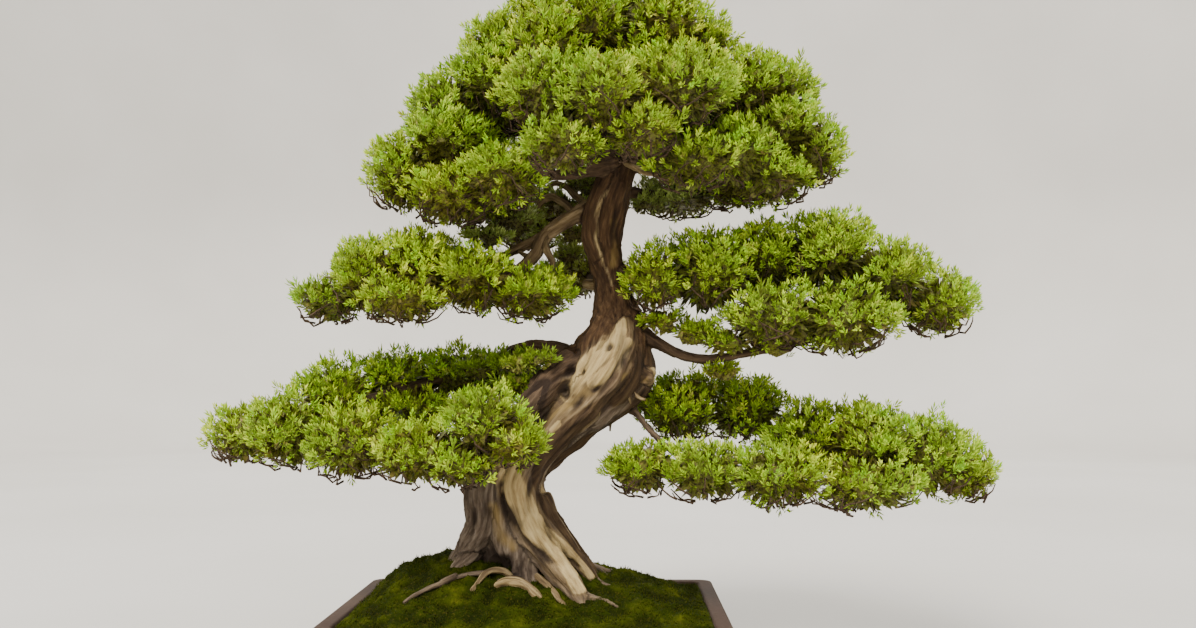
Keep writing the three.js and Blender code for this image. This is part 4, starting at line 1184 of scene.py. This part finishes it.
green_shapes = [shape for number, shape in enumerate(branch_shapes) if number not in GREY_LIMBS]
grey_shapes = [branch_shapes[number] for number in GREY_LIMBS]
thin = [
    weathered(green_shapes, 0.0), weathered(grey_shapes, GREY_PALENESS), weathered(bridge_shapes, 0.5),
    weathered(snag_shapes, 0.5), weathered(root_shapes, 0.16)]
fine_points, fine_quads, fine_triangles = gather([part[:3] for part in thin])
fine_pale = np.concatenate([part[3] for part in thin])
fine_grain = along_grain(*follow(fine_points, [*slimmed, *bridges, *SNAGS, *root_rows], 5.0))
offset, zeros = len(trunk_points), np.zeros(len(fine_points))
wood = add_piece(
    "wood_grown", np.vstack([trunk_points, fine_points]),
    [trunk_triangles, fine_quads + offset, fine_triangles + offset], ["wood"],
    {"dead": np.concatenate([dead, fine_pale]), "vein": np.concatenate([live, zeros]),
     "ochre": np.concatenate([ochre, zeros]),
     "painted_shade_and_streaks": np.concatenate([painted_shade_and_streaks, zeros + 0.12 + 0.3 * waves(fine_grain, 5, 44)]),
     "young": np.concatenate([(kind_of == BRANCH) * 0.8 * (1 - grey), np.clip(0.8 - 2 * fine_pale, 0, 1)]),
     "grain": np.vstack([grain_place, fine_grain]) * MM})

twig_points, twig_quads, twig_triangles = gather(twig_shapes)
twigs = add_piece(
    "twigs", twig_points, [twig_quads, twig_triangles], [],
    {**{name: np.full(len(twig_points), value) for name, value in
        (("dead", 0.0), ("vein", 0.0), ("ochre", 0.0), ("painted_shade_and_streaks", 0.15), ("young", 1.0))},
     "grain": twig_points * MM})

# %% [markdown]
# ## Bark and dead wood
# Live bark is grey at the foot and reddish above, and dead wood goes from brown to bone. One streaky noise runs
# along the grain of every limb. The values carved into the skin choose between the colours, and the noise makes
# their borders ragged. Cracks and hollows in the trunk are painted nearly black as shade.

# %% Bark and dead wood finish
bark = Finish("juniper_wood", Roughness=0.8, Specular_IOR_Level=0.3)
spot = bark.place()
grain = bark.attribute("grain", "Vector")
streak = bark.noise(grain, 230.0, 4.0, 0.6)
broad_streak = bark.noise(grain, 60.0, 3.0)
blotch = bark.noise(spot, 22.0, 4.0)
height = bark.node("ShaderNodeSeparateXYZ", None, {"Vector": spot}, output="Z")
old_bark = bark.ramp(
    streak, (0.30, (0.052, 0.036, 0.026)), (0.50, (0.150, 0.110, 0.078)), (0.72, (0.290, 0.230, 0.170)))
red_bark = bark.ramp(
    streak, (0.30, (0.026, 0.013, 0.007)), (0.52, (0.078, 0.042, 0.019)), (0.75, (0.170, 0.098, 0.046)))
living = bark.mix(height.between(0.29, 0.40), old_bark, red_bark)
weathered_brown = bark.ramp(
    streak, (0.28, (0.070, 0.043, 0.020)), (0.50, (0.175, 0.118, 0.058)), (0.74, (0.315, 0.230, 0.128)))
pale = bark.ramp(
    streak, (0.25, (0.200, 0.128, 0.050)), (0.46, (0.440, 0.315, 0.140)), (0.72, (0.640, 0.495, 0.250)))
ragged = bark.attribute("dead") + 0.5 * (broad_streak - 0.5) + 0.25 * (streak - 0.5)
colour = bark.mix(ragged.between(0.16, 0.38), living, weathered_brown)
colour = bark.mix(ragged.between(0.42, 0.66), colour, pale)
peeled = (bark.attribute("ochre") + 0.5 * (blotch - 0.5)).between(0.3, 1.15)
colour = bark.mix(peeled * 0.6, colour, (0.360, 0.240, 0.075))
dark_vein = bark.ramp(
    streak, (0.30, (0.022, 0.012, 0.006)), (0.55, (0.070, 0.041, 0.019)), (0.8, (0.155, 0.098, 0.048)))
colour = bark.mix((bark.attribute("vein") + 0.3 * (broad_streak - 0.5)).between(0.38, 0.62), colour, dark_vein)
colour = bark.mix(bark.attribute("young"), colour, bark.ramp(
    streak, (0.3, (0.036, 0.021, 0.012)), (0.7, (0.135, 0.086, 0.050))))
# Painted shade: the colour goes nearly black in the trunk's cracks and hollows, and the thin limbs get faint
# dark streaks along their grain
colour = bark.mix(bark.attribute("painted_shade_and_streaks").between(0.15, 0.9) * 0.88, colour, (0.022, 0.013, 0.009))
bark.wire(Base_Color=colour, Roughness=0.95 - 0.3 * bark.attribute("dead"))
bark.bump(streak + 0.7 * broad_streak, 0.0028, 1.0)
bark.cover(wood, twigs)

# %% [markdown]
# ## Foliage
# A juniper pad is a crowd of small tufts, each a handful of short stout shoots. The tufts stand scattered over
# the cushions' surfaces, higher in clumps, with dark gaps between, and lower and thinner underneath. Tufts in
# the gaps, underneath and deeper inside are painted darker as shade. A shoot is a slim blade of four faces, so
# that a whole bunch stays light enough. Inside each cushion a small ragged body and some broad old shoots close
# the view through it, coloured near black to dark green as painted shade. Each point carries how far along its
# shoot it is and how bright its tuft is, because growing tips are far brighter than the wood inside; that
# brightness also carries the painted shade.

# %% Small cushions that fill in
# Seen between the imported cushions, each group with its brightness: most grow in the shade of a pad
FILLERS = {
    "crown_top": (0.85, [[14, 82, 768, 42, 34, 26]]),
    "lower_left": (0.35, [
        [-94, 6, 385, 27, 24, 19], [-126, 8, 380, 26, 26, 20], [-158, 30, 378, 28, 34, 20],
        [-106, -30, 356, 22, 20, 16], [-100, -42, 381, 26, 14, 16], [-72, -44, 386, 20, 12, 13]]),
    "mid_right": (0.6, [
        [152, -30, 409, 40, 34, 22], [206, -34, 408, 38, 34, 20], [70, -26, 434, 32, 26, 21],
        [112, -28, 421, 36, 28, 22], [146, -8, 373, 26, 20, 13]]),
    "lower_right": (0.45, [[112, 66, 348, 52, 40, 24], [66, 60, 330, 30, 30, 22], [180, 70, 344, 40, 40, 20]]),
    "back_left": (0.8, [
        [-116, 62, 572, 34, 40, 26], [-28, 92, 626, 30, 30, 24], [-150, 60, 592, 30, 40, 24],
        [-66, 84, 600, 30, 30, 22], [-44, 78, 590, 26, 24, 18], [-150, 44, 548, 34, 30, 20],
        [-40, 92, 560, 22, 20, 16], [-10, 96, 602, 26, 24, 16]]),
    "back_middle": (0.8, [[-46, 98, 532, 24, 30, 22], [-90, 110, 560, 28, 30, 24], [-70, 90, 505, 24, 30, 16]]),
    "back_right": (0.6, [[60, 66, 594, 34, 40, 15], [112, 62, 598, 34, 40, 14]]),
}
print("fillers:", sum(len(cushions) for _, cushions in FILLERS.values()))

# %% Shoots


def shoots(roots, ways, lengths, widths, rng):
    """Blades of four faces: a root, a tip, and two points beside the way where the blade is widest."""
    across = unit(np.cross(ways, unit(rng.normal(size=ways.shape))))
    beside = np.cross(ways, across)
    middle = roots + ways * (lengths * 0.55)[:, None] + beside * (widths * 0.3)[:, None]
    half = across * (widths * 0.5)[:, None]
    points = np.stack([roots, middle + half, middle - half, roots + ways * lengths[:, None]], axis=1)
    pattern = np.array([[0, 2, 1], [3, 1, 2], [0, 1, 3], [0, 3, 2]])
    return points.reshape(-1, 3), (np.arange(len(roots))[:, None, None] * 4 + pattern).reshape(-1, 3)


# %% Where the tufts stand
# One tuft for so many square millimetres, and more of them on a filler. The layers say how far out on the
# cushion's half sizes they are, and how many of the tufts each has: a full one outside, a thin one inside.
TUFT_AREA, FILLER_DENSITY = 103.0, 1.4
OUTER, LAYERS = 1.0, ((1.0, 1.0), (0.8, 0.12))
SUNK, CLUMP_RISE = 12, 8.5


def ellipsoid_area(a, b, c):
    """Near enough the area of an ellipsoid: its three flat products, averaged with the power 1.6."""
    return 4 * math.pi * (((a * b) ** 1.6 + (a * c) ** 1.6 + (b * c) ** 1.6) / 3) ** (1 / 1.6)


def tuft_places(cushions, fillers, filler_light, others, rng):
    """Roots, outward ways, brightness and size of a bunch's tufts: outside its cushions, and a few inside.

    A tuft's height over its cushion is noise times the clumps' rise, less how far tufts are sunk in.
    """
    found, rows = [], cushions + fillers
    for number, row in enumerate(rows):
        rest, centre = other_rows(rows, number), np.array(row[:3], float)
        light, density = (1.0, 1.0) if number < len(cushions) else (filler_light, FILLER_DENSITY)
        for scale, share in LAYERS:
            count = int(ellipsoid_area(*row[3:]) / TUFT_AREA * share * density)
            points, outward = on_cushion(row, count, rng)
            clump = 0.45 * waves(points, 60, 50) + 0.6 * waves(points, 32, 51) + 0.5 * waves(points, 17, 52)
            below = smooth_step(-outward[:, 2], 0.2, 0.8)
            leader = (rng.uniform(size=count) < 0.07) & (outward[:, 2] > -0.2)
            rise = CLUMP_RISE * clump - (SUNK + 4 * below) + 2 * leader + rng.normal(0, 2.0, count)
            points = centre + (points - centre) * scale + outward * rise[:, None]
            ahead = points + outward * SUNK
            keep = (reach(ahead, rest) > 0.97) & (reach(ahead, others) > 0.96)
            keep &= rng.uniform(size=count) > 0.7 * below
            keep &= clump > -1.1
            # Painted shade: tufts in the dips between clumps, on the underside and in the inner layer get a
            # lower brightness, and fillers take their group's lower brightness
            bright = np.clip(0.5 + 0.48 * clump + rng.normal(0, 0.18, count) - 0.3 * below, 0, 1)
            bright *= light if scale == OUTER else 0.3
            size = np.where(leader, 1.25, 1.0) if scale == OUTER else np.full(count, 1.45)
            found.append((points[keep], outward[keep], bright[keep], size[keep]))
    return [np.concatenate(column) for column in zip(*found)]


# %% Tufts
SHOOTS, GOLDEN_TURN = 8, 2.4


def tufts(roots, outward, bright, size, rng):
    """Each tuft: shoots that leave a short stem by the golden angle, spread low down and upright at its top."""
    count = len(roots)
    upward = np.array([0.0, 0.0, 1.0])
    rise = upward * (0.95 - 0.5 * np.abs(outward[:, 2:3]))
    ways = unit(outward * [1, 1, 0.55] + rise + rng.normal(0, 0.35, (count, 3)))
    lengths = (size * rng.uniform(9.5, 15.5, count))[:, None]
    across = unit(np.cross(ways, unit(rng.normal(size=ways.shape))))
    beside = np.cross(ways, across)
    place = np.arange(SHOOTS) / (SHOOTS - 1)
    turn = np.arange(SHOOTS) * GOLDEN_TURN + rng.uniform(0, 2 * math.pi, (count, 1))
    splay = (1.25 - 1.0 * place) * rng.uniform(0.7, 1.3, (count, SHOOTS))
    shoot_ways = ways[:, None] + 0.15 * upward + splay[..., None] * (
        np.cos(turn)[..., None] * across[:, None] + np.sin(turn)[..., None] * beside[:, None])
    shoot_roots = roots[:, None] + ways[:, None] * (lengths * (0.05 + 0.5 * place))[..., None]
    shoot_lengths = lengths * rng.uniform(0.45, 0.75, (count, SHOOTS))
    widths = size[:, None] * rng.uniform(1.8, 2.8, (count, SHOOTS))
    points, triangles = shoots(
        shoot_roots.reshape(-1, 3), unit(shoot_ways).reshape(-1, 3), shoot_lengths.ravel(), widths.ravel(), rng)
    along = np.stack([0.2 * place, 0.5 + 0.1 * place, 0.5 + 0.1 * place, np.ones(SHOOTS)], axis=1).ravel()
    tone = np.repeat(np.clip(np.repeat(bright, SHOOTS) + rng.normal(0, 0.1, count * SHOOTS), 0, 1), 4)
    return points, triangles, np.tile(along, count), tone


# %% Dark insides
CORE_SHARE = 0.5
INNER_AREA = 260.0


def dark_insides(rows, rng):
    """A small ragged body inside each cushion, and broad old shoots round it, that close the view through."""
    points, quads, triangles = gather([
        ellipsoid(np.array(row[:3], float), np.array(row[3:], float) * CORE_SHARE, 9, 14) for row in rows])
    points = points + 5.0 * np.stack([waves(points, 19, seed) for seed in (61, 62, 63)], axis=1)
    places, ways, lengths = [], [], []
    for row in rows:
        outer, outward = on_cushion(row, int(ellipsoid_area(*row[3:]) / INNER_AREA), rng)
        spoke = outer - np.array(row[:3], float)
        places.append(outer - 0.6 * spoke)
        ways.append(unit(unit(spoke) + outward * 0.3 + rng.normal(0, 0.28, outward.shape)))
        lengths.append(0.42 * np.linalg.norm(spoke, axis=1) * rng.uniform(0.85, 1.1, len(spoke)))
    places, ways, lengths = np.concatenate(places), np.concatenate(ways), np.concatenate(lengths)
    blade_points, blade_faces = shoots(places, ways, lengths, rng.uniform(6, 10, len(places)), rng)
    return gather([(points, quads, triangles), (blade_points, np.empty((0, 4), int), blade_faces)])


# %% All bunches
foliage = []
tuft_count = 0
for number, (name, cushions) in enumerate(BUNCHES.items()):
    rng = np.random.default_rng(600 + number)
    filler_light, fillers = FILLERS.get(name, (1.0, []))
    others = np.array([row for key, other in BUNCHES.items() if key != name for row in other], float)
    tuft_roots, outward, bright, size = tuft_places(cushions, fillers, filler_light, others, rng)
    points, triangles, along, tone = tufts(tuft_roots, outward, bright, size, rng)
    core_points, core_quads, core_triangles = dark_insides(cushions + fillers, rng)
    # The dark insides get zero along and zero brightness, so the finish colours them with its painted inner
    # shade
    start, unlit = len(points), np.zeros(len(core_points))
    foliage.append(add_piece(
        f"sprays_{name}", np.vstack([points, core_points]),
        [triangles, core_quads + start, core_triangles + start], [f"foliage_{name}"],
        {"along": np.concatenate([along, unlit]), "tone": np.concatenate([tone, unlit])}, smooth=False))
    tuft_count += len(tuft_roots)
print("tufts:", tuft_count, "shoots:", tuft_count * SHOOTS)

# %% [markdown]
# ## Juniper green
# The shoots go from a dark, brownish green at the root to a fresh yellow green at the tip. Whole patches of a
# pad are older and duller than others, and a few tufts are dry. The bunches behind the trunk get a paler, bluish
# copy of the green, painted for the shade they stand in.

# %% Foliage finish


def juniper(name, inside, dark, middle, fresh, bright, pale, dry):
    """A green that brightens along each shoot and from tuft to tuft, with painted shade where tufts are dim and
    inside cushions, duller patches and a few dry ones.
    """
    leaf = Finish(name, Roughness=0.55, Specular_IOR_Level=0.3)
    spot = leaf.place()
    patch = leaf.noise(spot, 13.0, 2.0)
    along = leaf.attribute("along")
    tone = leaf.attribute("tone")
    light = (along * 0.6 + 0.4) * (tone * 0.7 + 0.35) + (patch - 0.5) * 0.35
    # Painted shade for the dark insides: near black to dark green, broken by fine noise
    painted_inner_shade = leaf.ramp(leaf.noise(spot, 330.0, 3.0), (0.38, (0.045, 0.040, 0.012)), (0.52, inside), (0.68, dark))
    tips = leaf.ramp(leaf.noise(spot, 48.0, 2.0), (0.36, fresh), (0.52, bright), (0.72, pale))
    shoot = leaf.ramp(light, (0.12, inside), (0.30, dark), (0.50, middle))
    shoot = leaf.mix(light.between(0.48, 0.82), shoot, tips)
    shoot = leaf.mix((along + tone).between(0.0, 0.05), painted_inner_shade, shoot)
    warmer = leaf.mix(1.0, shoot, (1.14, 1.02, 0.90), "MULTIPLY")
    shoot = leaf.mix(leaf.noise(spot, 7.0, 1.0).between(0.40, 0.66), shoot, warmer)
    fleck = leaf.noise(spot, 60.0, 1.0)
    leaf.wire(Base_Color=leaf.mix(fleck.between(0.64, 0.74) * 0.5, shoot, dry))
    return leaf


green = juniper(
    "juniper_green", inside=(0.145, 0.138, 0.022), dark=(0.165, 0.245, 0.013),
    middle=(0.240, 0.400, 0.012), fresh=(0.265, 0.570, 0.006), bright=(0.500, 0.700, 0.022),
    pale=(0.670, 0.750, 0.110), dry=(0.480, 0.370, 0.100))
# Painted shade: a paler, bluish copy of the green for the bunches behind the trunk, which stand in the crown's
# shade
shaded = juniper(
    "juniper_painted_shade", inside=(0.170, 0.140, 0.050), dark=(0.205, 0.250, 0.045),
    middle=(0.330, 0.430, 0.075), fresh=(0.390, 0.560, 0.080), bright=(0.590, 0.690, 0.190),
    pale=(0.740, 0.770, 0.400), dry=(0.480, 0.430, 0.240))
for piece, name in zip(foliage, BUNCHES):
    (shaded if name in IN_SHADE else green).cover(piece)
